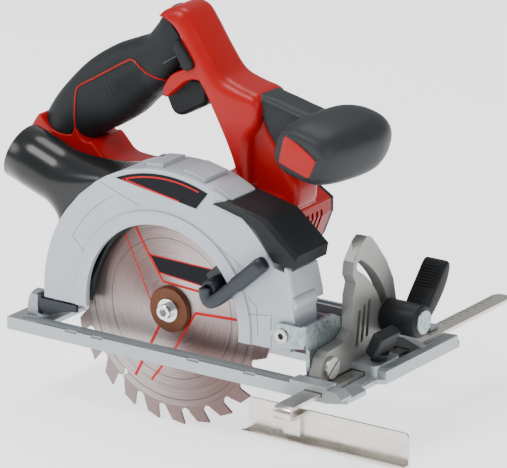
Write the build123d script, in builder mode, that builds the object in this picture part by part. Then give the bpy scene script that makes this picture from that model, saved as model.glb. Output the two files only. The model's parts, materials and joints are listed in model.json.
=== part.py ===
from build123d import *
import os
from math import cos, radians, sin

os.makedirs("parts", exist_ok=True)

# Circular saw, 150 mm class.  Millimetres.  +X forward, +Y towards the motor, +Z up.
# The origin is on the underside of the sole, in the blade's plane, below the blade's axis.

# ---- driving dimensions ----
blade_r = 75.0
blade_teeth = 24
blade_half = 0.8
axis_z = 28.0
sole_front = 143.0
sole_rear = -110.0
sole_near = -25.0
sole_far = 118.0
web_top = 3.0
rib_top = 8.2
bevel_y = -2.0
bevel_z = 14.0
bevel_slot_r = 65.0
bevel_rest_deg = 14.5
bevel_range = 45.0
depth_x = 93.0
depth_z = 33.0
depth_slot_r = 138.0
guard_near = -13.0
guard_far = 20.0
wall = 2.5
lower_guard_r = 82.5
module = 0.8
gear_teeth = 36
pinion_teeth = 8
gear_distance = module * (gear_teeth + pinion_teeth) / 2
motor_x = gear_distance * 0.5
motor_z = axis_z + gear_distance * 0.8660254
nose_r = 16.0
shaft_r = 6.0
motor_shaft_r = 2.5
running = 0.05
handle_y = 44.0
handle_half = 17.0
guide_x = 122.0
guide_half = 6.3
quadrant_x = 111.2
quadrant_depth = 8.0


def side(y):
    """A plane facing the blade side at this y, with +X right and +Z up; -amount extrudes towards +Y."""
    return Plane(origin=(0, y, 0), x_dir=(1, 0, 0), z_dir=(0, -1, 0))


def about(radius, degrees, centre_x=0.0, centre_z=axis_z):
    """A point at a radius and an angle from the blade's axis, or from another centre."""
    turn = radians(degrees)
    return (centre_x + radius * cos(turn), centre_z + radius * sin(turn))


# axis of the guide's wing screw, which leans forward
screw_lean = 25
screw_turn = radians(screw_lean)
screw_axis = Plane(
    origin=(126.5, 33, 5.95),
    x_dir=(cos(screw_turn), 0, -sin(screw_turn)),
    z_dir=(sin(screw_turn), 0, cos(screw_turn)),
)

# axis of the dust port, which leans back and up from the guard
port_turn = radians(20)
port_axis = Plane(origin=(-86, 5, 97), x_dir=(0, 1, 0), z_dir=(-cos(port_turn), 0, sin(port_turn)))

# ======================================================================
# Sole: cast base plate with ribs, opening, guide channel and pivot lug
# ======================================================================
opening_rear = -90.0
opening_front = 97.0
runner_inner = -14.4

with BuildPart() as sole_plate:
    with BuildSketch(Plane.XY):
        with BuildLine():
            Polyline(
                (sole_rear, sole_near), (132, sole_near), (sole_front, sole_near + 6), (sole_front, 2),
                (138, 5), (138, 21), (sole_front, 24), (sole_front, 108), (134, sole_far),
                (-94, sole_far), (sole_rear, 96), close=True,
            )
        make_face()
    extrude(amount=web_top)
    # raised rims and ribs on the web
    with BuildSketch(Plane.XY.offset(web_top)):
        with Locations((16.5, (sole_near + runner_inner) / 2)):
            Rectangle(253, runner_inner - sole_near)
        with Locations((14, sole_far - 6.5)):
            Rectangle(216, 9)
        with Locations((-106.5, 33.5)):
            Rectangle(7, 117)
        with Locations((3.5, 27)):
            Rectangle(187, 8)
        with Locations((139.5, 65)):
            Rectangle(7, 82)
        with Locations((105, 62)):
            Rectangle(5, 50)
    extrude(amount=rib_top - web_top)
    # the runner's end in front of the opening stands a little higher
    with BuildSketch(Plane.XY.offset(rib_top)):
        with Locations((118, (sole_near + runner_inner) / 2)):
            Rectangle(26, runner_inner - sole_near)
    extrude(amount=2.1)
    # chamfered front end of the runner
    with BuildSketch(Plane(origin=(0, sole_near, 0), x_dir=(1, 0, 0), z_dir=(0, -1, 0))):
        with BuildLine():
            Polyline((sole_front + 1, 4), (132, 12), (sole_front + 1, 12), close=True)
        make_face()
    extrude(amount=-40, mode=Mode.SUBTRACT)
    # opening for the blade and the lower guard: its far wall slants for the bevel cut
    with BuildSketch(Plane.YZ.offset(opening_rear)):
        with BuildLine():
            Polyline(
                (runner_inner, -1), (32, -1), (31, 0), (23, rib_top + 0.01), (22, 12), (runner_inner, 12),
                close=True,
            )
        make_face()
    extrude(amount=opening_front - opening_rear, mode=Mode.SUBTRACT)
    # channel groove along the top of the near runner
    with BuildSketch(Plane.XY.offset(rib_top)):
        with Locations((-1, -19.7)):
            SlotOverall(200, 5)
    extrude(amount=-1.6, mode=Mode.SUBTRACT)
    # channel groove along the top of the far rail
    with BuildSketch(Plane.XY.offset(rib_top)):
        with Locations((14, sole_far - 6.5)):
            SlotOverall(205, 4)
    extrude(amount=-2.4, mode=Mode.SUBTRACT)
    # small notches in the runner's outer edge
    with BuildSketch(Plane.XY.offset(rib_top)):
        with Locations((-60, sole_near), (-40, sole_near), (33, sole_near), (75, sole_near)):
            SlotOverall(9, 3.2)
    extrude(amount=-1.4, mode=Mode.SUBTRACT)
    # bridge and boss over the parallel guide
    with BuildSketch(Plane.XY.offset(web_top)):
        with Locations((guide_x + 1, 36)):
            RectangleRounded(28, 28, 4)
    extrude(amount=7.5)
    # housing for the guide at the near wall
    with BuildSketch(Plane.XY.offset(web_top)):
        with Locations((guide_x, -19.7)):
            Rectangle(20, 10.6)
    extrude(amount=7.3)
    # wedge rib on the far front corner
    with BuildSketch(side(72)):
        with BuildLine():
            Polyline((112, rib_top - 4), (139, rib_top - 4), (139, rib_top), (124, 13), (112, 13), close=True)
        make_face()
    extrude(amount=-6)
    # channel for the parallel guide, right through from side to side
    with BuildSketch(Plane.XZ.offset(-sole_far - 5)):
        with Locations((guide_x, 4.6)):
            Rectangle(2 * guide_half + 0.6, 3.2)
    extrude(amount=sole_far + 45, mode=Mode.SUBTRACT)
    # threaded hole of the guide's clamp screw
    with BuildSketch(screw_axis.offset(-1)):
        Circle(2.5 + running)
    extrude(amount=20, mode=Mode.SUBTRACT)
    # serrated patch at the front edge
    with BuildSketch(Plane.XY.offset(web_top)):
        for groove in range(6):
            with Locations((133.5, 7 + 2.6 * groove)):
                Rectangle(7, 1)
    extrude(amount=1)
    # rear lug that carries the tilt pin
    with BuildSketch(Plane.YZ.offset(-104)):
        with BuildLine():
            Polyline(
                (-13, web_top - 1), (13, web_top - 1), (6.5, 17), (4, 20), (0, 21.5), (-4, 21.5), (-8, 20),
                (-10.5, 17), close=True,
            )
        make_face()
    extrude(amount=8)
    with BuildSketch(Plane.YZ.offset(-108)):
        with Locations((bevel_y, bevel_z)):
            Circle(3.05)
    extrude(amount=16, mode=Mode.SUBTRACT)
    # seat of the bevel quadrant, with the threads of its two screws
    with Locations((quadrant_x + quadrant_depth / 2, 29.5, web_top + 10)):
        Box(quadrant_depth + 0.1, 85.1, 20, mode=Mode.SUBTRACT)
    with Locations((quadrant_x + 2.2, 15, 0), (quadrant_x + 2.2, 56, 0)):
        Cylinder(1.5, 8, mode=Mode.SUBTRACT)
sole_plate.part.label = "sole_plate"
export_step(sole_plate.part, "parts/sole_plate.step")

# ======================================================================
# Bevel quadrant: cast upright with the arc slot, bolted to the sole
# ======================================================================
slot_low = bevel_rest_deg - 1.5
slot_high = bevel_rest_deg + bevel_range + 0.5

with BuildPart() as bevel_quadrant:
    with BuildSketch(Plane.YZ.offset(quadrant_x)):
        with BuildLine():
            Polyline(
                (-13, 10.4), (-13, 6), (-9, web_top), (72, web_top), (72, 36), (68, 52), (60, 66), (50, 78),
                (43, 85.5), (38, 87), (33, 84), (24, 74), (22.5, 66), (26, 60), (23, 52), (22.5, 31),
                (15, 26), (6, 25), (-4, 24.5), (-9, 21), close=True,
            )
        make_face()
    extrude(amount=quadrant_depth)
    # curved slot for the bevel clamp
    with BuildSketch(Plane.YZ.offset(quadrant_x)):
        with BuildLine():
            arc = CenterArc((bevel_y, bevel_z), bevel_slot_r, slot_low, slot_high - slot_low)
            offset(arc, amount=3.5)
        make_face()
    extrude(amount=quadrant_depth, mode=Mode.SUBTRACT)
    # pockets between the ribs
    with BuildSketch(Plane.YZ.offset(quadrant_x + quadrant_depth)):
        with Locations((29, 30), (34.5, 32), (40, 34)):
            SlotOverall(24, 3, rotation=82)
    extrude(amount=-4, mode=Mode.SUBTRACT)
    # hole of the front tilt screw
    with BuildSketch(Plane.YZ.offset(quadrant_x)):
        with Locations((bevel_y, bevel_z)):
            Circle(4.05)
    extrude(amount=quadrant_depth, mode=Mode.SUBTRACT)
    # clearance over the guide's channel
    with BuildSketch(Plane.YZ.offset(guide_x - guide_half - 0.5)):
        with Locations((29, 4)):
            Rectangle(130, 5)
    extrude(amount=quadrant_depth, mode=Mode.SUBTRACT)
    with Locations((quadrant_x + 2.2, 15, 0), (quadrant_x + 2.2, 56, 0)):
        Cylinder(1.5, 30, mode=Mode.SUBTRACT)
bevel_quadrant.part.label = "bevel_quadrant"
export_step(bevel_quadrant.part, "parts/bevel_quadrant.step")

with BuildPart() as quadrant_screws:
    with Locations((quadrant_x + 2.2, 15, 1), (quadrant_x + 2.2, 56, 1)):
        Cylinder(1.5, 11, align=(Align.CENTER, Align.CENTER, Align.MIN))
quadrant_screws.part.label = "quadrant_screws"
export_step(quadrant_screws.part, "parts/quadrant_screws.step")

# pivots of the bevel tilt: a large shouldered screw in the quadrant's foot, and a pin in the rear lug
with BuildPart() as tilt_pivots:
    with BuildSketch(Plane.YZ.offset(105)):
        with Locations((bevel_y, bevel_z)):
            Circle(4)
    extrude(amount=quadrant_x + quadrant_depth - 105)
    with BuildSketch(Plane.YZ.offset(quadrant_x + quadrant_depth)):
        with Locations((bevel_y, bevel_z)):
            Circle(6.8)
    extrude(amount=2.6)
    with BuildSketch(Plane.YZ.offset(quadrant_x + quadrant_depth + 2.6)):
        with Locations((bevel_y, bevel_z)):
            Rectangle(14, 1.4, rotation=35)
    extrude(amount=-1.2, mode=Mode.SUBTRACT)
    # plain pin in the rear lug
    with BuildSketch(Plane.YZ.offset(-106)):
        with Locations((bevel_y, bevel_z)):
            Circle(5)
    extrude(amount=2)
    with BuildSketch(Plane.YZ.offset(-104)):
        with Locations((bevel_y, bevel_z)):
            Circle(3)
    extrude(amount=14)
tilt_pivots.part.label = "tilt_pivots"
export_step(tilt_pivots.part, "parts/tilt_pivots.step")

# ======================================================================
# Bevel frame: tilts on the sole about the X axis at (bevel_y, bevel_z)
# ======================================================================
ear_near = -16.0
ear_far = 14.5
plate_x = 108.3
plate_depth = 2.5
clamp_y = bevel_y + bevel_slot_r * cos(radians(bevel_rest_deg))
clamp_z = bevel_z + bevel_slot_r * sin(radians(bevel_rest_deg))

with BuildPart() as bevel_bracket:
    # front plate, with its arm to the bevel clamp
    with BuildSketch(Plane.YZ.offset(plate_x)):
        with BuildLine():
            Polyline((ear_near, 42), (ear_near, 30), (-12, 26), (-12, 14))
            ThreePointArc((-12, 14), (bevel_y, 4), (8, 14))
            Polyline(
                (8, 14), (20, 19), (58, 22), (66, 25), (68, 31), (65, 37), (58, 38), (30, 34), (ear_far, 42),
                (ear_near, 42),
            )
        make_face()
        with Locations((bevel_y, bevel_z)):
            Circle(4 + running, mode=Mode.SUBTRACT)
        with Locations((clamp_y, clamp_z)):
            Circle(3.05, mode=Mode.SUBTRACT)
    extrude(amount=plate_depth)
    # two ears that hold the depth pivot
    for ear in (ear_near, ear_far - 2.7):
        with BuildSketch(side(ear)):
            with BuildLine():
                Polyline((plate_x + 1, 27.5), (depth_x, 25), (depth_x, 41), (plate_x + 1, 41), close=True)
            make_face()
            with Locations((depth_x, depth_z)):
                Circle(8)
                Circle(3.05, mode=Mode.SUBTRACT)
        extrude(amount=-2.7)
bevel_bracket.part.label = "bevel_bracket"
export_step(bevel_bracket.part, "parts/bevel_bracket.step")

with BuildPart() as depth_pivot_bolt:
    with BuildSketch(side(ear_near)):
        with Locations((depth_x, depth_z)):
            Circle(3)
    extrude(amount=-(ear_far - ear_near))
    # rolled-over rivet rings, with the hollow end seen from the blade side
    with BuildSketch(side(ear_near - 1.2)):
        with Locations((depth_x, depth_z)):
            Circle(4.6)
    extrude(amount=-1.2)
    with BuildSketch(side(ear_far)):
        with Locations((depth_x, depth_z)):
            Circle(4.6)
    extrude(amount=-1.2)
    with BuildSketch(side(ear_near - 1.2)):
        with Locations((depth_x, depth_z)):
            Circle(2)
    extrude(amount=-8, mode=Mode.SUBTRACT)
depth_pivot_bolt.part.label = "depth_pivot_bolt"
export_step(depth_pivot_bolt.part, "parts/depth_pivot_bolt.step")

# carriage bolt of the bevel clamp: through the arm and the quadrant's slot
with BuildPart() as bevel_clamp_bolt:
    with BuildSketch(Plane.YZ.offset(plate_x - 3)):
        with Locations((clamp_y, clamp_z)):
            Circle(6)
    extrude(amount=3)
    with BuildSketch(Plane.YZ.offset(plate_x)):
        with Locations((clamp_y, clamp_z)):
            Circle(3)
    extrude(amount=quadrant_x + quadrant_depth + 22 - plate_x)
bevel_clamp_bolt.part.label = "bevel_clamp_bolt"
export_step(bevel_clamp_bolt.part, "parts/bevel_clamp_bolt.step")

# rear bracket: turns on the rear lug and carries the depth strap
with BuildPart() as rear_tilt_bracket:
    with BuildSketch(Plane.YZ.offset(-95.5)):
        with BuildLine():
            Polyline((-12.5, 14), (-12.5, 23), (26, 23), (26, 17), (12, 12), (6, 9))
            ThreePointArc((6, 9), (bevel_y, 6), (-10, 9))
            Line((-10, 9), (-12.5, 14))
        make_face()
        with Locations((bevel_y, bevel_z)):
            Circle(3 + running, mode=Mode.SUBTRACT)
    extrude(amount=3)
    # cheek on the blade side, arched to clear the lower guard
    with BuildSketch(side(-12.5)):
        with BuildLine():
            Polyline(
                (-95, 20.5), (-95, 14), (-90, 10.5), (-84, 10.5), (-78, 13), (-70, 15.5), (-65, 15.5),
                (-65, 20.5), close=True,
            )
        make_face()
    extrude(amount=-2.6)
    # cheek on the motor side, where the strap is fixed
    with BuildSketch(side(22)):
        with BuildLine():
            Polyline((-95, 23), (-95, 17), (-38, 17), (-38, 23), close=True)
        make_face()
        with Locations((-84, 20), (-47, 20)):
            Circle(1.6, mode=Mode.SUBTRACT)
    extrude(amount=-1.2)
rear_tilt_bracket.part.label = "rear_tilt_bracket"
export_step(rear_tilt_bracket.part, "parts/rear_tilt_bracket.step")

strap_y = 23.2
with BuildPart() as depth_strap:
    with BuildSketch(side(strap_y)):
        with BuildLine():
            strap_arc = CenterArc((depth_x, depth_z), depth_slot_r, 146, 38)
            offset(strap_arc, amount=8)
        make_face()
        with BuildLine():
            Polyline((-88, 17), (-38, 17), (-37.2, 26), (-52.5, 30), (-60, 23), (-88, 23), close=True)
        make_face()
        with BuildLine():
            slot_arc = CenterArc((depth_x, depth_z), depth_slot_r, 147.5, 33)
            offset(slot_arc, amount=3.4)
        make_face(mode=Mode.SUBTRACT)
        with Locations((-84, 20), (-47, 20)):
            Circle(1.6, mode=Mode.SUBTRACT)
    extrude(amount=-1.8)
    # the strap stops level with the bracket's lower edge
    with Locations((-45, strap_y + 1, 7)):
        Box(120, 10, 20, mode=Mode.SUBTRACT)
depth_strap.part.label = "depth_strap"
export_step(depth_strap.part, "parts/depth_strap.step")

with BuildPart() as strap_rivets:
    for rivet_x in (-84, -47):
        with BuildSketch(side(21)):
            with Locations((rivet_x, 20)):
                Circle(2.6)
        extrude(amount=-1)
        with BuildSketch(side(22)):
            with Locations((rivet_x, 20)):
                Circle(1.6)
        extrude(amount=-3)
strap_rivets.part.label = "strap_rivets"
export_step(strap_rivets.part, "parts/strap_rivets.step")

# ======================================================================
# Bevel clamp lever, wing screw and parallel guide
# ======================================================================
lever_x = quadrant_x + quadrant_depth + 0.4
with BuildPart() as bevel_lever:
    with BuildSketch(Plane.YZ.offset(lever_x)):
        with Locations((clamp_y, clamp_z)):
            Circle(10.5)
    extrude(amount=26)
    # paddle, leaning away from the blade
    with BuildSketch(Plane.YZ.offset(lever_x + 4.4)):
        with Locations((clamp_y, clamp_z)):
            Polygon(
                (4, -3), (13.3, 4.2), (22.9, 15.3), (34.6, 28.1), (38.5, 28.5), (39.5, 24.5), (36, 15), (30, 7),
                (20, -2), (7, -8), align=None,
            )
    extrude(amount=16)
    with BuildSketch(Plane.YZ.offset(lever_x)):
        with Locations((clamp_y, clamp_z)):
            Circle(3 + running)
    extrude(amount=22.5, mode=Mode.SUBTRACT)
    fillet(bevel_lever.edges().filter_by(Axis.X).sort_by(Axis.Z)[-2:], radius=2)
bevel_lever.part.label = "bevel_lever"
export_step(bevel_lever.part, "parts/bevel_lever.step")

with BuildPart() as bevel_lever_cap:
    with BuildSketch(Plane.YZ.offset(lever_x + 26)):
        with Locations((clamp_y, clamp_z)):
            Circle(7.5)
    extrude(amount=1.2)
bevel_lever_cap.part.label = "bevel_lever_cap"
export_step(bevel_lever_cap.part, "parts/bevel_lever_cap.step")

with BuildPart() as wing_screw:
    with BuildSketch(screw_axis.offset(1.6)):
        Circle(2.5)
    extrude(amount=8)
    with BuildSketch(screw_axis.offset(8.8)):
        Circle(6.5)
    extrude(amount=4.6)
    with BuildSketch(screw_axis.offset(13)):
        RectangleRounded(8, 22, 2)
    extrude(amount=14)
    fillet(wing_screw.edges().filter_by(GeomType.LINE).group_by(SortBy.LENGTH)[-1], radius=1.2)
wing_screw.part.label = "wing_screw"
export_step(wing_screw.part, "parts/wing_screw.step")

rail_z = 4.6
with BuildPart() as guide_rail:
    # flat bar through the sole, then a U bend and a drop to the fence
    with BuildSketch(side(-52)):
        with Locations((guide_x, rail_z)):
            Rectangle(2 * guide_half - 0.2, 2.4)
    extrude(amount=-247)
    with BuildSketch(Plane.YZ.offset(guide_x - guide_half + 0.1)):
        with BuildLine():
            Polyline((-51, rail_z + 1.2), (-54, rail_z + 1.2))
            ThreePointArc((-54, rail_z + 1.2), (-58.5, rail_z - 3.3), (-54, rail_z - 7.8))
            Polyline((-54, rail_z - 7.8), (-47.6, rail_z - 7.8), (-47.6, rail_z - 20), (-45.2, rail_z - 20),
                     (-45.2, rail_z - 5.4), (-54, rail_z - 5.4))
            ThreePointArc((-54, rail_z - 5.4), (-56.1, rail_z - 3.3), (-54, rail_z - 1.2))
            Polyline((-54, rail_z - 1.2), (-51, rail_z - 1.2), (-51, rail_z + 1.2))
        make_face()
    extrude(amount=2 * guide_half - 0.2)
    fillet(guide_rail.edges().filter_by(Axis.Z).sort_by(Axis.Y)[-2:], radius=6)
guide_rail.part.label = "guide_rail"
export_step(guide_rail.part, "parts/guide_rail.step")

with BuildPart() as guide_fence:
    with BuildSketch(Plane.YZ.offset(89)):
        with BuildLine():
            Polyline(
                (-45.2, 2), (-43.8, 2), (-43.8, -19), (-52, -19), (-53, -17), (-51.6, -16.6), (-51, -17.6),
                (-45.2, -17.6), close=True,
            )
        make_face()
    extrude(amount=115)
    with Locations((guide_x, -44.5, -10)):
        Cylinder(1.8, 12, rotation=(90, 0, 0), mode=Mode.SUBTRACT)
    fillet(guide_fence.edges().filter_by(Axis.Y).sort_by(Axis.Z)[-2:], radius=3)
guide_fence.part.label = "guide_fence"
export_step(guide_fence.part, "parts/guide_fence.step")

# ======================================================================
# Upper guard and what is fixed on it
# ======================================================================
drum_x = 4.0
drum_r = 93.5
cavity_x = 2.0
cavity_r = 88.0
guard_bottom = 22.0
window_r = 58.0
case_screw_places = (
    (motor_x - 14.8, motor_z + 9.8), (motor_x + 14.8, motor_z + 9.8), (motor_x, motor_z + 18),
)
# straight front wall down to the pivot lug
front_wall = [(60, 23), (97, 23), (101, 34), (99, 56), (95, 72), (60, 80)]
# stepped lugs on the drum's top: where, and how long
drum_lugs = ((96, 12), (78, 16), (64, 14))

with BuildPart() as upper_guard:
    with BuildSketch(side(guard_near)):
        with Locations((drum_x, axis_z)):
            Circle(drum_r)
        with BuildLine():
            Polyline(*front_wall, close=True)
        make_face()
        with Locations((0, guard_bottom - 100)):
            Rectangle(240, 200, mode=Mode.SUBTRACT)
    extrude(amount=-(guard_far - guard_near))
    # cavity for the blade and the lower guard
    with BuildSketch(side(guard_near + wall)):
        with Locations((cavity_x, axis_z)):
            Circle(cavity_r)
    extrude(amount=-(guard_far - guard_near - 2 * wall), mode=Mode.SUBTRACT)
    # round window that shows the blade, with its raised rim
    with BuildSketch(side(guard_near - 1.2)):
        with Locations((cavity_x, axis_z)):
            Circle(window_r + 8.5)
            Circle(window_r, mode=Mode.SUBTRACT)
        with Locations((0, guard_bottom - 100)):
            Rectangle(240, 200, mode=Mode.SUBTRACT)
    extrude(amount=-2)
    with BuildSketch(side(guard_near - 1)):
        with Locations((cavity_x, axis_z)):
            Circle(window_r)
    extrude(amount=-(wall + 1.2), mode=Mode.SUBTRACT)
    # the front of the drum is narrowed to a lug between the bracket's ears
    with BuildSketch(side(guard_near)):
        with BuildLine():
            Polyline((83, 44), (104, 44), (104, 18), (83, 18), close=True)
        make_face()
    extrude(amount=-0.5, mode=Mode.SUBTRACT)
    # higher on the motor side, where the ear swings up past it as the saw is raised
    with BuildSketch(side(ear_far - 3.1)):
        with BuildLine():
            Polyline((83, 51), (104, 51), (104, 18), (83, 18), close=True)
        make_face()
    extrude(amount=-12, mode=Mode.SUBTRACT)
    with BuildSketch(side(guard_near - 1)):
        with Locations((depth_x, depth_z)):
            Circle(3 + running)
    extrude(amount=-40, mode=Mode.SUBTRACT)
    # far plate: hole for the gear case's nose, and for the depth bolt
    with BuildSketch(side(guard_far - wall - 1)):
        with Locations((0, axis_z)):
            Circle(nose_r)
        with Locations((depth_x - depth_slot_r, depth_z)):
            Circle(2.5)
        with Locations(*case_screw_places):
            Circle(1.5)
    extrude(amount=-6, mode=Mode.SUBTRACT)
    # boss that keeps the depth strap off the far plate
    with BuildSketch(side(guard_far)):
        with Locations((depth_x - depth_slot_r, depth_z)):
            Circle(6)
            Circle(2.5, mode=Mode.SUBTRACT)
    extrude(amount=-2.8)
    # chip way to the dust port
    with BuildSketch(port_axis.offset(-30)):
        Circle(14)
    extrude(amount=38, mode=Mode.SUBTRACT)
    for lug_deg, lug_size in drum_lugs:
        lug_point = about(drum_r + 0.6, lug_deg, drum_x)
        with BuildSketch(side(-9)):
            with Locations(lug_point):
                Rectangle(lug_size, 4, rotation=lug_deg - 90)
        extrude(amount=-24)
upper_guard.part.label = "upper_guard"
export_step(upper_guard.part, "parts/upper_guard.step")

# faceted black cover on the guard's front shoulder, with the work light in it
light_axis = Plane(origin=(94, 6, 79), x_dir=(0, 1, 0), z_dir=(0.3, 0, -0.954))
with BuildPart() as front_cover:
    with BuildSketch(side(guard_near - 2)):
        with BuildLine():
            Polyline(
                (41, 107.5), (50, 110.5), (80, 104), (103, 85), (101.5, 77), (86, 78.5), (77, 91), (69, 101),
                close=True,
            )
        make_face()
    extrude(amount=-(guard_far - guard_near + 2))
    near_edges = front_cover.edges().filter_by_position(Axis.Y, guard_near - 2.1, guard_near - 1.9)
    chamfer(near_edges.sort_by(SortBy.LENGTH)[-2:], length=2.5)
    with BuildSketch(side(guard_near)):
        with Locations((drum_x, axis_z)):
            Circle(drum_r)
        with BuildLine():
            Polyline(*front_wall, close=True)
        make_face()
    extrude(amount=-40, mode=Mode.SUBTRACT)
    for lug_deg, lug_size in drum_lugs:
        lug_point = about(drum_r + 0.6, lug_deg, drum_x)
        with BuildSketch(side(-9)):
            with Locations(lug_point):
                Rectangle(lug_size, 4, rotation=lug_deg - 90)
        extrude(amount=-24, mode=Mode.SUBTRACT)
    with BuildSketch(light_axis):
        SlotOverall(11, 7)
    extrude(amount=8, mode=Mode.SUBTRACT)
front_cover.part.label = "front_cover"
export_step(front_cover.part, "parts/front_cover.step")

with BuildPart() as light_lens:
    with BuildSketch(light_axis):
        SlotOverall(11, 7)
    extrude(amount=1.2)
light_lens.part.label = "light_lens"
export_step(light_lens.part, "parts/light_lens.step")

# dust port: a tube that leans back, flaring onto the drum
port_outer_r = 18.5
port_bore_r = 16.0
with BuildPart() as dust_port:
    with BuildSketch(port_axis):
        Circle(port_outer_r)
    extrude(amount=35)
    with BuildSketch(port_axis):
        Circle(port_outer_r)
    with BuildSketch(port_axis.offset(-24)):
        RectangleRounded(2 * 16.4, 54, 8)
    loft()
    # skirt wrapped round the drum
    with BuildSketch(side(guard_near)):
        with BuildLine():
            CenterArc((drum_x, axis_z), drum_r + 2.6, 116, 42)
            CenterArc((drum_x, axis_z), drum_r, 116, 42)
            Line(about(drum_r, 116, drum_x), about(drum_r + 2.6, 116, drum_x))
            Line(about(drum_r, 158, drum_x), about(drum_r + 2.6, 158, drum_x))
        make_face()
    extrude(amount=-(guard_far - guard_near))
    with BuildSketch(side(-40)):
        with Locations((drum_x, axis_z)):
            Circle(drum_r)
    extrude(amount=-80, mode=Mode.SUBTRACT)
    with BuildSketch(port_axis.offset(-40)):
        Circle(14)
    extrude(amount=40, mode=Mode.SUBTRACT)
    with BuildSketch(port_axis):
        Circle(port_bore_r)
    extrude(amount=36, mode=Mode.SUBTRACT)
    fillet(dust_port.faces().sort_by(Axis.X)[0].edges(), radius=0.8)
dust_port.part.label = "dust_port"
export_step(dust_port.part, "parts/dust_port.step")

# ======================================================================
# Gear case and its bearings
# ======================================================================
case_far = 33.0
plate_far = 37.0
bearing_far = 36.5
can_far = 89.5
with BuildPart() as gear_case:
    with BuildSketch(side(guard_far)):
        with Locations((0, axis_z)):
            Circle(18)
        with Locations((motor_x, motor_z)):
            Circle(22)
        make_hull()
    extrude(amount=-(case_far - guard_far))
    with BuildSketch(side(guard_far + 2)):
        with Locations((0, axis_z)):
            Circle(16)
        with Locations((motor_x, motor_z)):
            Circle(19)
        make_hull()
    extrude(amount=-20, mode=Mode.SUBTRACT)
    # nose that carries the front bearing and the lower guard
    with BuildSketch(side(4.6)):
        with Locations((0, axis_z)):
            Circle(nose_r)
    extrude(amount=-(guard_far - 4.6))
    with BuildSketch(side(4)):
        with Locations((0, axis_z)):
            Circle(8)
    extrude(amount=-20, mode=Mode.SUBTRACT)
    with BuildSketch(side(9)):
        with Locations((0, axis_z)):
            Circle(13)
    extrude(amount=-8, mode=Mode.SUBTRACT)
    with BuildSketch(side(guard_far)):
        with Locations(*case_screw_places):
            Circle(1.5)
    extrude(amount=-2, mode=Mode.SUBTRACT)
    # guide of the spindle lock's pin
    with BuildSketch(Plane.YZ.offset(-20)):
        with Locations((26, axis_z)):
            Circle(1.2 + running)
    extrude(amount=6, mode=Mode.SUBTRACT)
gear_case.part.label = "gear_case"
export_step(gear_case.part, "parts/gear_case.step")

with BuildPart() as bearing_plate:
    with BuildSketch(side(case_far)):
        with Locations((0, axis_z)):
            Circle(18)
        with Locations((motor_x, motor_z)):
            Circle(22)
        make_hull()
    extrude(amount=-(plate_far - case_far))
    with BuildSketch(side(case_far)):
        with Locations((0, axis_z)):
            Circle(8)
        with Locations((motor_x, motor_z)):
            Circle(6.5)
    extrude(amount=-(bearing_far - case_far), mode=Mode.SUBTRACT)
    with BuildSketch(side(case_far)):
        with Locations((motor_x, motor_z)):
            Circle(4)
    extrude(amount=-6, mode=Mode.SUBTRACT)
bearing_plate.part.label = "bearing_plate"
export_step(bearing_plate.part, "parts/bearing_plate.step")

with BuildPart() as ball_bearings:
    with BuildSketch(side(9)):
        with Locations((0, axis_z)):
            Circle(13)
            Circle(shaft_r + running, mode=Mode.SUBTRACT)
    extrude(amount=-8)
    with BuildSketch(side(case_far)):
        with Locations((0, axis_z)):
            Circle(8)
            Circle(4 + running, mode=Mode.SUBTRACT)
    extrude(amount=-(bearing_far - case_far))
    for bearing_y in (case_far, can_far - 3.5):
        with BuildSketch(side(bearing_y)):
            with Locations((motor_x, motor_z)):
                Circle(6.5)
                Circle(motor_shaft_r + running, mode=Mode.SUBTRACT)
        extrude(amount=-3.5)
ball_bearings.part.label = "ball_bearings"
export_step(ball_bearings.part, "parts/ball_bearings.step")


# ======================================================================
# Spindle: turns about the Y axis at (0, axis_z)
# ======================================================================
with BuildPart() as spindle_shaft:
    with BuildSketch(side(4)):
        with Locations((0, axis_z)):
            Circle(shaft_r)
    extrude(amount=-26)
    with BuildSketch(side(30)):
        with Locations((0, axis_z)):
            Circle(4)
    extrude(amount=-6.3)
    with BuildSketch(side(4)):
        with Locations((0, axis_z)):
            Circle(4)
    extrude(amount=-12, mode=Mode.SUBTRACT)
spindle_shaft.part.label = "spindle_shaft"
export_step(spindle_shaft.part, "parts/spindle_shaft.step")

# reduced tooth height and width leave backlash in the mesh
tooth_high = 0.45
tooth_deep = 1.0


def gear_face(teeth, first_deg, centre):
    """Trapezoid teeth on a root circle, in the sketch that is open."""
    pitch_r = module * teeth / 2
    with Locations(centre):
        Circle(pitch_r - tooth_deep)
        for tooth in range(teeth):
            turn = first_deg + 360 / teeth * tooth
            with Locations(Location((0, 0, 0), (0, 0, turn))):
                with Locations((pitch_r + (tooth_high - tooth_deep) / 2 - 0.25, 0)):
                    Trapezoid(1.5, tooth_high + tooth_deep + 0.5, 76, rotation=-90)


with BuildPart() as drive_gear:
    with BuildSketch(side(22.5)):
        gear_face(gear_teeth, 5, (0, axis_z))
        with Locations((0, axis_z)):
            Circle(shaft_r, mode=Mode.SUBTRACT)
    extrude(amount=-7)
drive_gear.part.label = "drive_gear"
export_step(drive_gear.part, "parts/drive_gear.step")

with BuildPart() as inner_flange:
    with BuildSketch(side(blade_half)):
        with Locations((0, axis_z)):
            Circle(15)
            Circle(4.05, mode=Mode.SUBTRACT)
    extrude(amount=-(4 - blade_half))
    with BuildSketch(side(-blade_half + 0.1)):
        with Locations((0, axis_z)):
            Circle(8)
            Circle(4.05, mode=Mode.SUBTRACT)
    extrude(amount=-(2 * blade_half - 0.1))
inner_flange.part.label = "inner_flange"
export_step(inner_flange.part, "parts/inner_flange.step")

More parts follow.
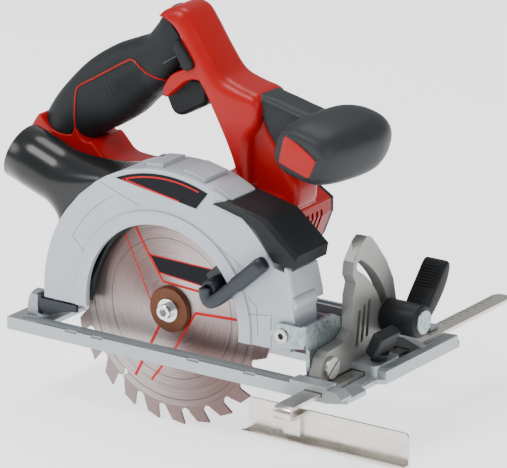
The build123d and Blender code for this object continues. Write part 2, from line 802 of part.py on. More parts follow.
with BuildPart() as blade:
    with BuildSketch(side(-blade_half)):
        with Locations((0, axis_z)):
            Circle(blade_r)
            Circle(8, mode=Mode.SUBTRACT)
    extrude(amount=-2 * blade_half)
    # gullets between the teeth
    with BuildSketch(side(-blade_half)):
        for tooth in range(blade_teeth):
            tip = 202.4 + 360 / blade_teeth * tooth
            with BuildLine():
                Polyline(about(blade_r, tip), about(66.9, tip - 1.7))
                ThreePointArc(about(66.9, tip - 1.7), about(64.3, tip + 1.2), about(67.0, tip + 4.3))
                Polyline(about(67.0, tip + 4.3), about(73.3, tip + 8), about(74.8, tip + 14.3),
                         about(77, tip + 14.3), about(77, tip), about(blade_r, tip))
            make_face()
    extrude(amount=-2 * blade_half, mode=Mode.SUBTRACT)
    # expansion slots with round ends, in every sixth gullet
    with BuildSketch(side(-blade_half)):
        for slot in range(4):
            slot_deg = 202.4 + 30 + 1.2 + 90 * slot
            with Locations(about(60.5, slot_deg)):
                Circle(1.9)
            with Locations(about(63, slot_deg)):
                Rectangle(6, 1, rotation=slot_deg)
    extrude(amount=-2 * blade_half, mode=Mode.SUBTRACT)
blade.part.label = "blade"
export_step(blade.part, "parts/blade.step")

with BuildPart() as outer_flange:
    with BuildSketch(side(-4)):
        with Locations((0, axis_z)):
            Circle(14.2)
            Circle(4.05, mode=Mode.SUBTRACT)
    extrude(amount=-1.2)
    with BuildSketch(side(-2.8)):
        with Locations((0, axis_z)):
            Circle(15)
            Circle(4.05, mode=Mode.SUBTRACT)
    extrude(amount=-(2.8 - blade_half))
outer_flange.part.label = "outer_flange"
export_step(outer_flange.part, "parts/outer_flange.step")

with BuildPart() as blade_washer:
    with BuildSketch(side(-5.2)):
        with Locations((0, axis_z)):
            Circle(7.4)
            Circle(4.05, mode=Mode.SUBTRACT)
    extrude(amount=-1.2)
blade_washer.part.label = "blade_washer"
export_step(blade_washer.part, "parts/blade_washer.step")

with BuildPart() as blade_bolt:
    with BuildSketch(side(-10.2)):
        with Locations((0, axis_z)):
            Circle(4.9)
    extrude(amount=-5)
    with BuildSketch(side(-5.2)):
        with Locations((0, axis_z)):
            Circle(4)
    extrude(amount=-18)
    with BuildSketch(side(-10.2)):
        with Locations((0, axis_z)):
            RegularPolygon(2.9, 6)
    extrude(amount=-3.4, mode=Mode.SUBTRACT)
    chamfer(blade_bolt.edges().filter_by(GeomType.CIRCLE).sort_by(Axis.Y)[0], length=0.5)
blade_bolt.part.label = "blade_bolt"
export_step(blade_bolt.part, "parts/blade_bolt.step")

# ======================================================================
# Rotor: turns about the Y axis at (motor_x, motor_z), geared to the spindle
# ======================================================================
with BuildPart() as motor_pinion:
    with BuildSketch(side(22.5)):
        gear_face(pinion_teeth, 60, (motor_x, motor_z))
    extrude(amount=-8)
    with BuildSketch(side(22.5)):
        with Locations((motor_x, motor_z)):
            Circle(1.5, mode=Mode.ADD)
    extrude(amount=-8)
    with BuildSketch(side(22)):
        with Locations((motor_x, motor_z)):
            Circle(1.6)
    extrude(amount=-9, mode=Mode.SUBTRACT)
motor_pinion.part.label = "motor_pinion"
export_step(motor_pinion.part, "parts/motor_pinion.step")

with BuildPart() as motor_shaft:
    with BuildSketch(side(22.5)):
        with Locations((motor_x, motor_z)):
            Circle(1.6)
    extrude(amount=-8)
    with BuildSketch(side(30.5)):
        with Locations((motor_x, motor_z)):
            Circle(motor_shaft_r)
    extrude(amount=-(91 - 30.5))
motor_shaft.part.label = "motor_shaft"
export_step(motor_shaft.part, "parts/motor_shaft.step")

with BuildPart() as cooling_fan:
    with BuildSketch(side(40.5)):
        with Locations((motor_x, motor_z)):
            Circle(19)
            Circle(motor_shaft_r, mode=Mode.SUBTRACT)
    extrude(amount=-1.4)
    with BuildSketch(side(41.9)):
        with Locations((motor_x, motor_z)):
            Circle(5)
            Circle(motor_shaft_r, mode=Mode.SUBTRACT)
            with PolarLocations(12.5, 12):
                Rectangle(12, 1.2, rotation=25)
    extrude(amount=-3.6)
cooling_fan.part.label = "cooling_fan"
export_step(cooling_fan.part, "parts/cooling_fan.step")

with BuildPart() as armature:
    with BuildSketch(side(50)):
        with Locations((motor_x, motor_z)):
            Circle(16)
            Circle(motor_shaft_r, mode=Mode.SUBTRACT)
            with PolarLocations(15, 12):
                Rectangle(4, 1.8, mode=Mode.SUBTRACT)
    extrude(amount=-24)
    for winding_y in (47.4, 74):
        with BuildSketch(side(winding_y)):
            with Locations((motor_x, motor_z)):
                Circle(13)
                Circle(motor_shaft_r, mode=Mode.SUBTRACT)
        extrude(amount=-2.6)
armature.part.label = "armature"
export_step(armature.part, "parts/armature.step")

with BuildPart() as commutator:
    with BuildSketch(side(79)):
        with Locations((motor_x, motor_z)):
            Circle(7)
            Circle(motor_shaft_r, mode=Mode.SUBTRACT)
    extrude(amount=-6)
commutator.part.label = "commutator"
export_step(commutator.part, "parts/commutator.step")

with BuildPart() as motor_can:
    with BuildSketch(side(47)):
        with Locations((motor_x, motor_z)):
            Circle(24)
    extrude(amount=-(can_far - 47))
    with BuildSketch(side(47)):
        with Locations((motor_x, motor_z)):
            Circle(22)
    extrude(amount=-(can_far - 3.5 - 47), mode=Mode.SUBTRACT)
    with BuildSketch(side(can_far - 3.5)):
        with Locations((motor_x, motor_z)):
            Circle(6.5)
    extrude(amount=-4, mode=Mode.SUBTRACT)
motor_can.part.label = "motor_can"
export_step(motor_can.part, "parts/motor_can.step")

with BuildPart() as motor_magnets:
    with BuildSketch(side(50)):
        with Locations((motor_x, motor_z)):
            Circle(22)
            Circle(17, mode=Mode.SUBTRACT)
            Rectangle(60, 12, mode=Mode.SUBTRACT)
    extrude(amount=-24)
motor_magnets.part.label = "motor_magnets"
export_step(motor_magnets.part, "parts/motor_magnets.step")

with BuildPart() as brush_gear:
    with BuildSketch(side(77.4)):
        with Locations((motor_x, motor_z)):
            Circle(22)
            Circle(8, mode=Mode.SUBTRACT)
    extrude(amount=-1.4)
    with BuildSketch(side(78.8)):
        with Locations((motor_x, motor_z)):
            Rectangle(36, 5)
            Circle(7 + 0.35, mode=Mode.SUBTRACT)
    extrude(amount=-6)
brush_gear.part.label = "brush_gear"
export_step(brush_gear.part, "parts/brush_gear.step")

# ======================================================================
# Lower guard: swings about the spindle's axis on the gear case's nose
# ======================================================================
swing_start = -3.5
swing_end = 183.5
lever_deg = 32.0


def sector(inner, outer, start, end):
    """A band about the blade's axis, in the sketch that is open."""
    with BuildLine() as outline:
        CenterArc((0, axis_z), outer, start, end - start)
        CenterArc((0, axis_z), inner, start, end - start)
        Line(about(inner, start), about(outer, start))
        Line(about(inner, end), about(outer, end))
    make_face(outline.edges())


with BuildPart() as lower_guard:
    with BuildSketch(side(5)):
        sector(18, lower_guard_r, swing_start, swing_end)
        with Locations((0, axis_z)):
            Circle(21)
            Circle(nose_r + running, mode=Mode.SUBTRACT)
    extrude(amount=-1.6)
    with BuildSketch(side(6.6)):
        with Locations((0, axis_z)):
            Circle(20)
            Circle(nose_r + running, mode=Mode.SUBTRACT)
    extrude(amount=-0.9)
    with BuildSketch(side(-8.5)):
        sector(lower_guard_r - 2, lower_guard_r, swing_start, swing_end)
    extrude(amount=-15.1)
    with BuildSketch(side(-8.5)):
        sector(63, lower_guard_r, swing_start, swing_end)
        sector(44, 64, lever_deg - 12, lever_deg + 12)
    extrude(amount=-1.6)
lower_guard.part.label = "lower_guard"
export_step(lower_guard.part, "parts/lower_guard.step")

with BuildPart() as lower_guard_lever:
    # socket on the guard's lip
    with BuildSketch(side(-20)):
        with Locations(about(49, lever_deg)):
            Circle(6)
    extrude(amount=-11.5)
    with BuildSketch(side(-23)):
        with Locations(about(70, lever_deg)):
            SlotOverall(51, 9.5, rotation=lever_deg)
    extrude(amount=-7)
    with BuildSketch(side(-25)):
        with Locations(about(84, lever_deg)):
            SlotOverall(23, 9.5, rotation=lever_deg)
    extrude(amount=-9)
    with BuildSketch(side(-24)):
        with Locations(about(49, lever_deg)):
            Circle(2.4)
    extrude(amount=-8, mode=Mode.SUBTRACT)
lower_guard_lever.part.label = "lower_guard_lever"
export_step(lower_guard_lever.part, "parts/lower_guard_lever.step")

with BuildPart() as guard_return_spring:
    for coil_y in (9.2, 11.2, 13.2, 15.2):
        with BuildSketch(Plane.XY.offset(axis_z)):
            with Locations((nose_r + 1.2, coil_y)):
                Circle(0.8)
        revolve(axis=Axis((0, 0, axis_z), (0, 1, 0)), revolution_arc=360)
guard_return_spring.part.label = "guard_return_spring"
export_step(guard_return_spring.part, "parts/guard_return_spring.step")

# ======================================================================
# Motor housing, handle and controls
# ======================================================================
housing_near = 30.0
housing_far = 93.0
housing_outline = [(-18, 92), (46, 92), (56, 86), (56, 77), (50, 62), (43, 50), (37, 30), (29, 17), (-7, 17),
                   (-20, 28), (-24, 50), (-24, 84)]
housing_inside = [(-15, 89.5), (45, 89.5), (53.5, 84.5), (53.5, 77.5), (47.7, 63), (40.7, 51), (35, 31),
                  (28, 19.2), (-7, 19.2), (-17.5, 29), (-21.5, 50), (-21.5, 83)]
with BuildPart() as motor_housing:
    with BuildSketch(side(housing_near)):
        with BuildLine():
            Polyline(*housing_outline, close=True)
        make_face()
    extrude(amount=-(housing_far - housing_near))
    fillet(motor_housing.edges().filter_by(Axis.Y), radius=3)
    # inside of the housing, open at its far end
    with BuildSketch(side(plate_far + 2.5)):
        with BuildLine():
            Polyline(*housing_inside, close=True)
        make_face()
    extrude(amount=-60, mode=Mode.SUBTRACT)
    with BuildSketch(side(housing_near)):
        with Locations((motor_x, motor_z)):
            Circle(20.5)
    extrude(amount=-20, mode=Mode.SUBTRACT)
    with BuildSketch(side(housing_near)):
        with Locations((0, axis_z)):
            Circle(18)
        with Locations((motor_x, motor_z)):
            Circle(22)
        make_hull()
    extrude(amount=-(plate_far - housing_near), mode=Mode.SUBTRACT)
    # air slots along the side
    with BuildSketch(Plane.YZ.offset(20)):
        for slot in range(6):
            with Locations((57.5 + 5 * slot, 72)):
                SlotOverall(18, 2.4, rotation=90)
    extrude(amount=60, mode=Mode.SUBTRACT)
motor_housing.part.label = "motor_housing"
export_step(motor_housing.part, "parts/motor_housing.step")

with BuildPart() as motor_end_cap:
    with BuildSketch(side(housing_far)):
        with BuildLine():
            Polyline(*housing_outline, close=True)
        make_face()
    extrude(amount=-7)
    chamfer(motor_end_cap.edges().group_by(Axis.Y)[-1], length=4)
    # inside, and the air slots
    with BuildSketch(side(housing_far)):
        with BuildLine():
            Polyline(*housing_inside, close=True)
        make_face()
    extrude(amount=-2.5, mode=Mode.SUBTRACT)
    with BuildSketch(side(housing_far)):
        with Locations((12, 52)):
            with GridLocations(44, 6, 1, 9):
                SlotOverall(34, 2.6)
    extrude(amount=-10, mode=Mode.SUBTRACT)
motor_end_cap.part.label = "motor_end_cap"
export_step(motor_end_cap.part, "parts/motor_end_cap.step")

# ---- the loop of the handle, seen from the blade side ----
handle_floor = 92.3
handle_loop = [
    (-131, 110), (-132, 114), (-127, 121), (-110, 145), (-84, 168.5), (-60, 181.5), (-44, 190), (-33, 201),
    (-20, 211.5), (-11, 210.5), (2, 192), (17, 173), (30, 168.5), (43, 165), (47, 146), (56, 132), (68, 108),
    (60, handle_floor), (-124, handle_floor),
]
finger_gap = [
    (-38, 149), (-45, 145), (-50, 137), (-62, 128.5), (-80, 117), (-90, 109), (-88, 105.5), (-78, 103.5),
    (26, 103.5), (29, 110), (27, 119), (21, 133), (8, 158), (-4, 152),
]

screw_places = ((-116, 119), (-68, 155), (-14, 198), (30, 157), (38, 106), (-60, 97.9))
grip_pad_line = [
    (-121, 117), (-107, 138), (-82, 161), (-58, 174), (-44, 181), (-38, 170), (-42, 157), (-54, 142),
    (-66, 134), (-84, 122), (-94, 114),
]


def handle_face():
    """The outline of the handle with its finger gap, in the sketch that is open."""
    with BuildLine() as loop:
        Polyline(*handle_loop, close=True)
    make_face(loop.edges())
    with BuildLine() as gap:
        Polyline(*finger_gap, close=True)
    make_face(gap.edges(), mode=Mode.SUBTRACT)


def pad_face():
    """The outline of a rubber pad on the grip, in the sketch that is open."""
    with BuildLine() as edge:
        Polyline(*grip_pad_line, close=True)
    make_face(edge.edges())


def hollow_handle():
    """Cuts the handle's inner spaces out of the part that is open."""
    # switch
    with Locations((-17, handle_y, 168.5)):
        Box(38, 28, 31, mode=Mode.SUBTRACT)
    # trigger
    with Locations((-15, handle_y, 147)):
        Box(33, 16, 16, mode=Mode.SUBTRACT)
    # circuit board in the leg
    with BuildSketch(side(31)) as board_space:
        with BuildLine() as board_edge:
            Polyline((33, 114), (25, 140), (36, 146), (50, 130), (58, 114), close=True)
        make_face(board_edge.edges())
    extrude(board_space.sketch, amount=-26, mode=Mode.SUBTRACT)
    # screws from the motor side
    with BuildSketch(side(33)) as shanks:
        with Locations(*screw_places):
            Circle(1.6)
    extrude(shanks.sketch, amount=-30, mode=Mode.SUBTRACT)
    with BuildSketch(side(58)) as heads:
        with Locations(*screw_places):
            Circle(3.3)
    extrude(heads.sketch, amount=-6, mode=Mode.SUBTRACT)
    # seats of the two rubber pads
    for pad_y in (handle_y - handle_half - 1, handle_y + handle_half - 2):
        with BuildSketch(side(pad_y)) as seat:
            pad_face()
        extrude(seat.sketch, amount=-3, mode=Mode.SUBTRACT)


button_lean = 37.6
with BuildPart() as handle_shell_near:
    with BuildSketch(side(handle_y - handle_half)):
        handle_face()
    extrude(amount=-handle_half)
    chamfer(handle_shell_near.faces().sort_by(Axis.Y)[0].edges(), length=2.4)
    hollow_handle()
    # window of the lock-off button, deep enough for its 3 mm of travel
    with Locations((-9, 30, 182)):
        Box(10.6, 12, 15.6, rotation=(0, -button_lean, 0), mode=Mode.SUBTRACT)
handle_shell_near.part.label = "handle_shell_near"
export_step(handle_shell_near.part, "parts/handle_shell_near.step")

with BuildPart() as handle_shell_far:
    with BuildSketch(side(handle_y)):
        handle_face()
    extrude(amount=-handle_half)
    chamfer(handle_shell_far.faces().sort_by(Axis.Y)[-1].edges(), length=2.4)
    hollow_handle()
handle_shell_far.part.label = "handle_shell_far"
export_step(handle_shell_far.part, "parts/handle_shell_far.step")

with BuildPart() as grip_pads:
    with BuildSketch(side(handle_y - handle_half - 0.8)):
        pad_face()
    extrude(amount=-2.8)
    with BuildSketch(side(handle_y + handle_half - 2)):
        pad_face()
    extrude(amount=-2.8)
    with BuildSketch(side(handle_y + handle_half - 2)):
        with Locations(*screw_places):
            Circle(3.3)
    extrude(amount=-2.8, mode=Mode.SUBTRACT)
grip_pads.part.label = "grip_pads"
export_step(grip_pads.part, "parts/grip_pads.step")

with BuildPart() as handle_screws:
    with BuildSketch(side(33)):
        with Locations(*screw_places):
            Circle(1.6)
    extrude(amount=-25)
    with BuildSketch(side(58)):
        with Locations(*screw_places):
            Circle(3.1)
            RegularPolygon(1.3, 6, mode=Mode.SUBTRACT)
    extrude(amount=-2.2)
handle_screws.part.label = "handle_screws"
export_step(handle_screws.part, "parts/handle_screws.step")

# ---- second handle at the front ----
with BuildPart() as front_handle:
    with BuildSketch(side(32)):
        with BuildLine():
            Polyline((43.5, 165), (78, 156), (78, 140), (56.6, 132.4), (47.6, 146.3), close=True)
        make_face()
    extrude(amount=-24)
    with BuildSketch(side(10)):
        with Locations((88, 139.5)):
            RectangleRounded(34, 26, 8, rotation=-14)
    with BuildSketch(side(18)):
        with Locations((90, 139.5)):
            RectangleRounded(42, 34, 12, rotation=-14)
    with BuildSketch(side(54)):
        with Locations((95, 140)):
            RectangleRounded(44, 36, 13, rotation=-14)
    with BuildSketch(side(80)):
        with Locations((96, 141)):
            RectangleRounded(22, 20, 8, rotation=-14)
    loft(ruled=True)
    with BuildSketch(side(9)):
        with Locations((88, 139.5)):
            Trapezoid(27, 16, 75, rotation=-104)
    extrude(amount=-3, mode=Mode.SUBTRACT)
front_handle.part.label = "front_handle"
export_step(front_handle.part, "parts/front_handle.step")

with BuildPart() as front_handle_insert:
    with BuildSketch(side(9.4)):
        with Locations((88, 139.5)):
            Trapezoid(27, 16, 75, rotation=-104)
    extrude(amount=-2.6)
front_handle_insert.part.label = "front_handle_insert"
export_step(front_handle_insert.part, "parts/front_handle_insert.step")

# ---- switch, trigger, lock-off button and electronics ----
with BuildPart() as trigger:
    with BuildSketch(side(handle_y - 7.5)):
        with BuildLine():
            Polyline((-30.5, 152), (-27, 145))
            ThreePointArc((-27, 145), (-16, 140), (-4, 145))
            Polyline((-4, 145), (0, 152), (0, 166), (-30.5, 166), (-30.5, 152))
        make_face()
    extrude(amount=-15)
    with Locations((-22, handle_y, 162)):
        Cylinder(3.6, 8.2, mode=Mode.SUBTRACT)
trigger.part.label = "trigger"
export_step(trigger.part, "parts/trigger.step")

with BuildPart() as switch_body:
    with Locations((-25.5, handle_y, 177.8)):
        Box(19, 16, 12)
switch_body.part.label = "switch_body"
export_step(switch_body.part, "parts/switch_body.step")

with BuildPart() as lock_off_button:
    with BuildSketch(side(24.5)):
        with Locations((-9, 182)):
            RectangleRounded(10, 15, 2, rotation=button_lean)
    extrude(amount=-8)
    fillet(lock_off_button.faces().sort_by(Axis.Y)[0].edges(), radius=1)
lock_off_button.part.label = "lock_off_button"
export_step(lock_off_button.part, "parts/lock_off_button.step")

with BuildPart() as control_board:
    with BuildSketch(side(46)):
        with BuildLine():
            Polyline((35, 116), (29, 137), (36, 141), (48, 129), (54, 116), close=True)
        make_face()
    extrude(amount=-1.6)
    with BuildSketch(side(43)):
        with Locations((39, 121), (46, 121), (36, 131)):
            Rectangle(5, 6)
    extrude(amount=-3)
control_board.part.label = "control_board"
export_step(control_board.part, "parts/control_board.step")

# ---- interface of the battery pack, under the handle's lower bar ----
shoe_low = 80.0
with BuildPart() as battery_shoe:
    with Locations((-76, handle_y, (shoe_low + handle_floor) / 2)):
        Box(92, 30, handle_floor - shoe_low)
    # grooves that the pack's rails slide along, stopped at the front
    with Locations((-80, handle_y - 13, shoe_low + 4.5), (-80, handle_y + 13, shoe_low + 4.5)):
        Box(92, 8, 4, mode=Mode.SUBTRACT)
battery_shoe.part.label = "battery_shoe"
export_step(battery_shoe.part, "parts/battery_shoe.step")

with BuildPart() as battery_terminals:
    for blade_offset in (-7, 0, 7):
        with Locations((-42, handle_y + blade_offset, shoe_low - 5)):
            Box(9, 0.8, 10)
battery_terminals.part.label = "battery_terminals"
export_step(battery_terminals.part, "parts/battery_terminals.step")

# ---- spindle lock: a pin whose flat tip enters a tooth gap of the drive gear ----
with BuildPart() as spindle_lock:
    with BuildSketch(Plane.YZ.offset(-31)):
        with Locations((26, axis_z)):
            Circle(3.5)
    extrude(amount=5)
    with BuildSketch(Plane.YZ.offset(-26)):
        with Locations((26, axis_z)):
            Circle(1.2)
    extrude(amount=26 - 17.4)
    with Locations((-16.7, 26, axis_z)):
        Box(1.6, 1.4, 0.7)
spindle_lock.part.label = "spindle_lock"
export_step(spindle_lock.part, "parts/spindle_lock.step")

# ---- depth clamp on the motor side of the guard ----
depth_bolt_x = depth_x - depth_slot_r
with BuildPart() as depth_bolt:
    with BuildSketch(side(guard_far - wall - 2)):
        with Locations((depth_bolt_x, depth_z)):
            Circle(5)
    extrude(amount=-2)
    with BuildSketch(side(guard_far - wall)):
        with Locations((depth_bolt_x, depth_z)):
            Circle(2.5)
    extrude(amount=-14)
depth_bolt.part.label = "depth_bolt"
export_step(depth_bolt.part, "parts/depth_bolt.step")

with BuildPart() as depth_lever:
    with BuildSketch(side(25.5)):
        with Locations((depth_bolt_x, depth_z)):
            Circle(7.5)
            Circle(2.5 + running, mode=Mode.SUBTRACT)
    extrude(amount=-7)
    with BuildSketch(side(28)):
        with Locations((depth_bolt_x - 24, depth_z)):
            SlotOverall(44, 8)
        with Locations((depth_bolt_x, depth_z)):
            Circle(2.5 + running, mode=Mode.SUBTRACT)
    extrude(amount=-4.5)
depth_lever.part.label = "depth_lever"
export_step(depth_lever.part, "parts/depth_lever.step")

with BuildPart() as gear_case_screws:
    with BuildSketch(side(guard_far - wall - 1.8)):
        with Locations(*case_screw_places):
            Circle(2.8)
            RegularPolygon(1.2, 6, mode=Mode.SUBTRACT)
    extrude(amount=-1.8)
    with BuildSketch(side(guard_far - wall)):
        with Locations(*case_screw_places):
            Circle(1.5)
    extrude(amount=-(wall + 2))
gear_case_screws.part.label = "gear_case_screws"
export_step(gear_case_screws.part, "parts/gear_case_screws.step")

# blank label on the near side of the guard, under the drum's top
with BuildPart() as guard_label:
    with BuildSketch(side(guard_near - 0.4)):
        with BuildLine():
            label_arc = CenterArc((drum_x, axis_z), 90.5, 69, 45)
            Line(label_arc @ 0, (27.7, 101.5))
            Line((27.7, 101.5), label_arc @ 1)
        make_face()
    extrude(amount=-0.4)
guard_label.part.label = "guard_label"
export_step(guard_label.part, "parts/guard_label.step")
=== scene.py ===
import bmesh
import bpy
import json
from math import cos, hypot, pi, radians, sin
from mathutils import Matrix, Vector


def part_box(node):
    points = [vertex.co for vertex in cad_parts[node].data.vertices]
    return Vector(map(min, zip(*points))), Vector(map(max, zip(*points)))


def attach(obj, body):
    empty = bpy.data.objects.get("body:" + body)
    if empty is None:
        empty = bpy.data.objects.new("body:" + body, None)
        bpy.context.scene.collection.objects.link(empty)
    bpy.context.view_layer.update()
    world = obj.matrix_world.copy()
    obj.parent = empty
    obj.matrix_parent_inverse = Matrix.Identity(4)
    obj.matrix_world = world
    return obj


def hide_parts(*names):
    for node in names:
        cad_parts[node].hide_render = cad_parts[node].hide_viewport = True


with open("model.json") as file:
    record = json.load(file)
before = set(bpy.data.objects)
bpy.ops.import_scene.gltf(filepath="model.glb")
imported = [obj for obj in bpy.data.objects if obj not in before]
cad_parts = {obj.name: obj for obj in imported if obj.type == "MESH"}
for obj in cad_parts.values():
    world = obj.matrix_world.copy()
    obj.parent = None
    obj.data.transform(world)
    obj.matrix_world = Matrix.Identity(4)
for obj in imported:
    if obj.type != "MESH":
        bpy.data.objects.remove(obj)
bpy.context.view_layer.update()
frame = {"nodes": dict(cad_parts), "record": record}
MM = 0.001
# specular level of the moulded plastics: low, so that they keep their colour under the wide lamps
PLASTIC_SHEEN = 0.2
COAT_ROUGHNESS = 0.25
# depths of the red handle's near and far faces, in mm
HANDLE_NEAR_FACE, HANDLE_FAR_FACE = 26.6, 61.4


# ---------------------------------------------------------------- node helpers
def material(name):
    """A new material with only its shader and output; returns it, its nodes, links and shader."""
    made = bpy.data.materials.new(name)
    made.use_nodes = True
    tree = made.node_tree
    return made, tree.nodes, tree.links, tree.nodes["Principled BSDF"]


def place_vector(nodes, links, stretch=(1, 1, 1)):
    """Object coordinates, stretched."""
    place = nodes.new("ShaderNodeTexCoord")
    mapping = nodes.new("ShaderNodeMapping")
    mapping.inputs["Scale"].default_value = stretch
    links.new(place.outputs["Object"], mapping.inputs["Vector"])
    return mapping.outputs["Vector"]


def noise(nodes, links, vector, scale, detail=4.0, rough=0.55):
    """A noise texture's value."""
    texture = nodes.new("ShaderNodeTexNoise")
    texture.inputs["Scale"].default_value = scale
    texture.inputs["Detail"].default_value = detail
    texture.inputs["Roughness"].default_value = rough
    links.new(vector, texture.inputs["Vector"])
    return texture.outputs["Fac"]


def ramp(nodes, links, value, stops):
    """A colour ramp over a value; stops are (position, colour)."""
    node = nodes.new("ShaderNodeValToRGB")
    steps = node.color_ramp.elements
    while len(steps) < len(stops):
        steps.new(0.5)
    for step, (position, colour) in zip(steps, stops):
        step.position = position
        step.color = (*colour, 1.0)
    links.new(value, node.inputs["Fac"])
    return node.outputs["Color"]


def spread(nodes, links, value, low, high):
    """A value from 0..1 to low..high."""
    node = nodes.new("ShaderNodeMapRange")
    node.inputs["To Min"].default_value = low
    node.inputs["To Max"].default_value = high
    links.new(value, node.inputs["Value"])
    return node.outputs["Result"]


def maths(nodes, links, operation, first, second=0.0):
    """A Math node on two sockets or numbers."""
    node = nodes.new("ShaderNodeMath")
    node.operation = operation
    for socket, given in zip(node.inputs, (first, second)):
        if isinstance(given, (int, float)):
            socket.default_value = given
        else:
            links.new(given, socket)
    return node.outputs["Value"]


def mix(nodes, links, share, first, second):
    """Mixes two colours by a share; a colour is a socket or three numbers."""
    node = nodes.new("ShaderNodeMix")
    node.data_type = "RGBA"
    links.new(share, node.inputs["Factor"])
    for socket, given in ((node.inputs["A"], first), (node.inputs["B"], second)):
        if isinstance(given, tuple):
            socket.default_value = (*given, 1.0)
        else:
            links.new(given, socket)
    return node.outputs["Result"]


def bump(nodes, links, shader, height, strength, distance):
    """Bump from a height value, on the shader's normal."""
    node = nodes.new("ShaderNodeBump")
    node.inputs["Strength"].default_value = strength
    node.inputs["Distance"].default_value = distance
    links.new(height, node.inputs["Height"])
    links.new(node.outputs["Normal"], shader.inputs["Normal"])


def tinted(colour, factor):
    """A colour made lighter or darker."""
    return tuple(min(1.0, max(0.0, part * factor)) for part in colour)


# ---------------------------------------------------------------- materials
def moulded(name, colour, roughness=0.42, grain=900.0, depth=0.05, coat=0.0, vary=0.12):
    """Moulded plastic or rubber: fine grain, slight colour drift and uneven gloss."""
    made, nodes, links, shader = material(name)
    vector = place_vector(nodes, links)
    cloud = noise(nodes, links, vector, 35.0, 3.0)
    fine = noise(nodes, links, vector, grain, 2.0)
    tone = ramp(nodes, links, cloud, [(0.3, tinted(colour, 1 - vary)), (0.7, tinted(colour, 1 + vary))])
    links.new(tone, shader.inputs["Base Color"])
    links.new(spread(nodes, links, cloud, roughness - 0.06, roughness + 0.08), shader.inputs["Roughness"])
    shader.inputs["Coat Weight"].default_value = coat
    shader.inputs["Coat Roughness"].default_value = COAT_ROUGHNESS
    shader.inputs["Specular IOR Level"].default_value = PLASTIC_SHEEN
    bump(nodes, links, shader, fine, 0.35, depth * MM)
    return made


def cast(name, colour, metallic=0.55, roughness=0.45, grain=420.0, depth=0.05):
    """Cast or painted metal: pebbled skin with soft blotches."""
    made, nodes, links, shader = material(name)
    vector = place_vector(nodes, links)
    cloud = noise(nodes, links, vector, 28.0, 5.0)
    fine = noise(nodes, links, vector, grain, 5.0, 0.65)
    tone = ramp(nodes, links, cloud, [(0.25, tinted(colour, 0.9)), (0.75, tinted(colour, 1.08))])
    speck = ramp(nodes, links, fine, [(0.3, tinted(colour, 0.93)), (0.75, tinted(colour, 1.04))])
    both = nodes.new("ShaderNodeMix")
    both.data_type = "RGBA"
    both.inputs["Factor"].default_value = 0.5
    links.new(tone, both.inputs["A"])
    links.new(speck, both.inputs["B"])
    links.new(both.outputs["Result"], shader.inputs["Base Color"])
    shader.inputs["Metallic"].default_value = metallic
    links.new(spread(nodes, links, fine, roughness - 0.08, roughness + 0.1), shader.inputs["Roughness"])
    bump(nodes, links, shader, fine, 0.3, depth * MM)
    return made


def spangled(name, colour, metallic=0.9, roughness=0.35):
    """Zinc plate: cells of slightly different grey with small dark pits."""
    made, nodes, links, shader = material(name)
    vector = place_vector(nodes, links)
    cells = nodes.new("ShaderNodeTexVoronoi")
    cells.inputs["Scale"].default_value = 420.0
    links.new(vector, cells.inputs["Vector"])
    flecks = noise(nodes, links, vector, 300.0, 6.0, 0.7)
    shade = maths(nodes, links, "MULTIPLY", cells.outputs["Distance"], flecks)
    stops = [(0.3, tinted(colour, 0.6)), (0.5, colour), (0.72, tinted(colour, 1.4))]
    tone = ramp(nodes, links, flecks, stops)
    links.new(tone, shader.inputs["Base Color"])
    shader.inputs["Metallic"].default_value = metallic
    links.new(spread(nodes, links, shade, roughness - 0.1, roughness + 0.25), shader.inputs["Roughness"])
    bump(nodes, links, shader, flecks, 0.3, 0.06 * MM)
    return made


def brushed(name, colour, stretch, metallic=1.0, roughness=0.28):
    """Ground or plated metal with fine straight scratches."""
    made, nodes, links, shader = material(name)
    vector = place_vector(nodes, links, stretch)
    lines = noise(nodes, links, vector, 60.0, 6.0, 0.7)
    plain = place_vector(nodes, links)
    cloud = noise(nodes, links, plain, 22.0, 3.0)
    tone = ramp(nodes, links, lines, [(0.25, tinted(colour, 0.82)), (0.75, tinted(colour, 1.12))])
    links.new(tone, shader.inputs["Base Color"])
    shader.inputs["Metallic"].default_value = metallic
    links.new(spread(nodes, links, cloud, roughness - 0.1, roughness + 0.16), shader.inputs["Roughness"])
    bump(nodes, links, shader, lines, 0.2, 0.03 * MM)
    return made


AXIS_Z = 28 * MM


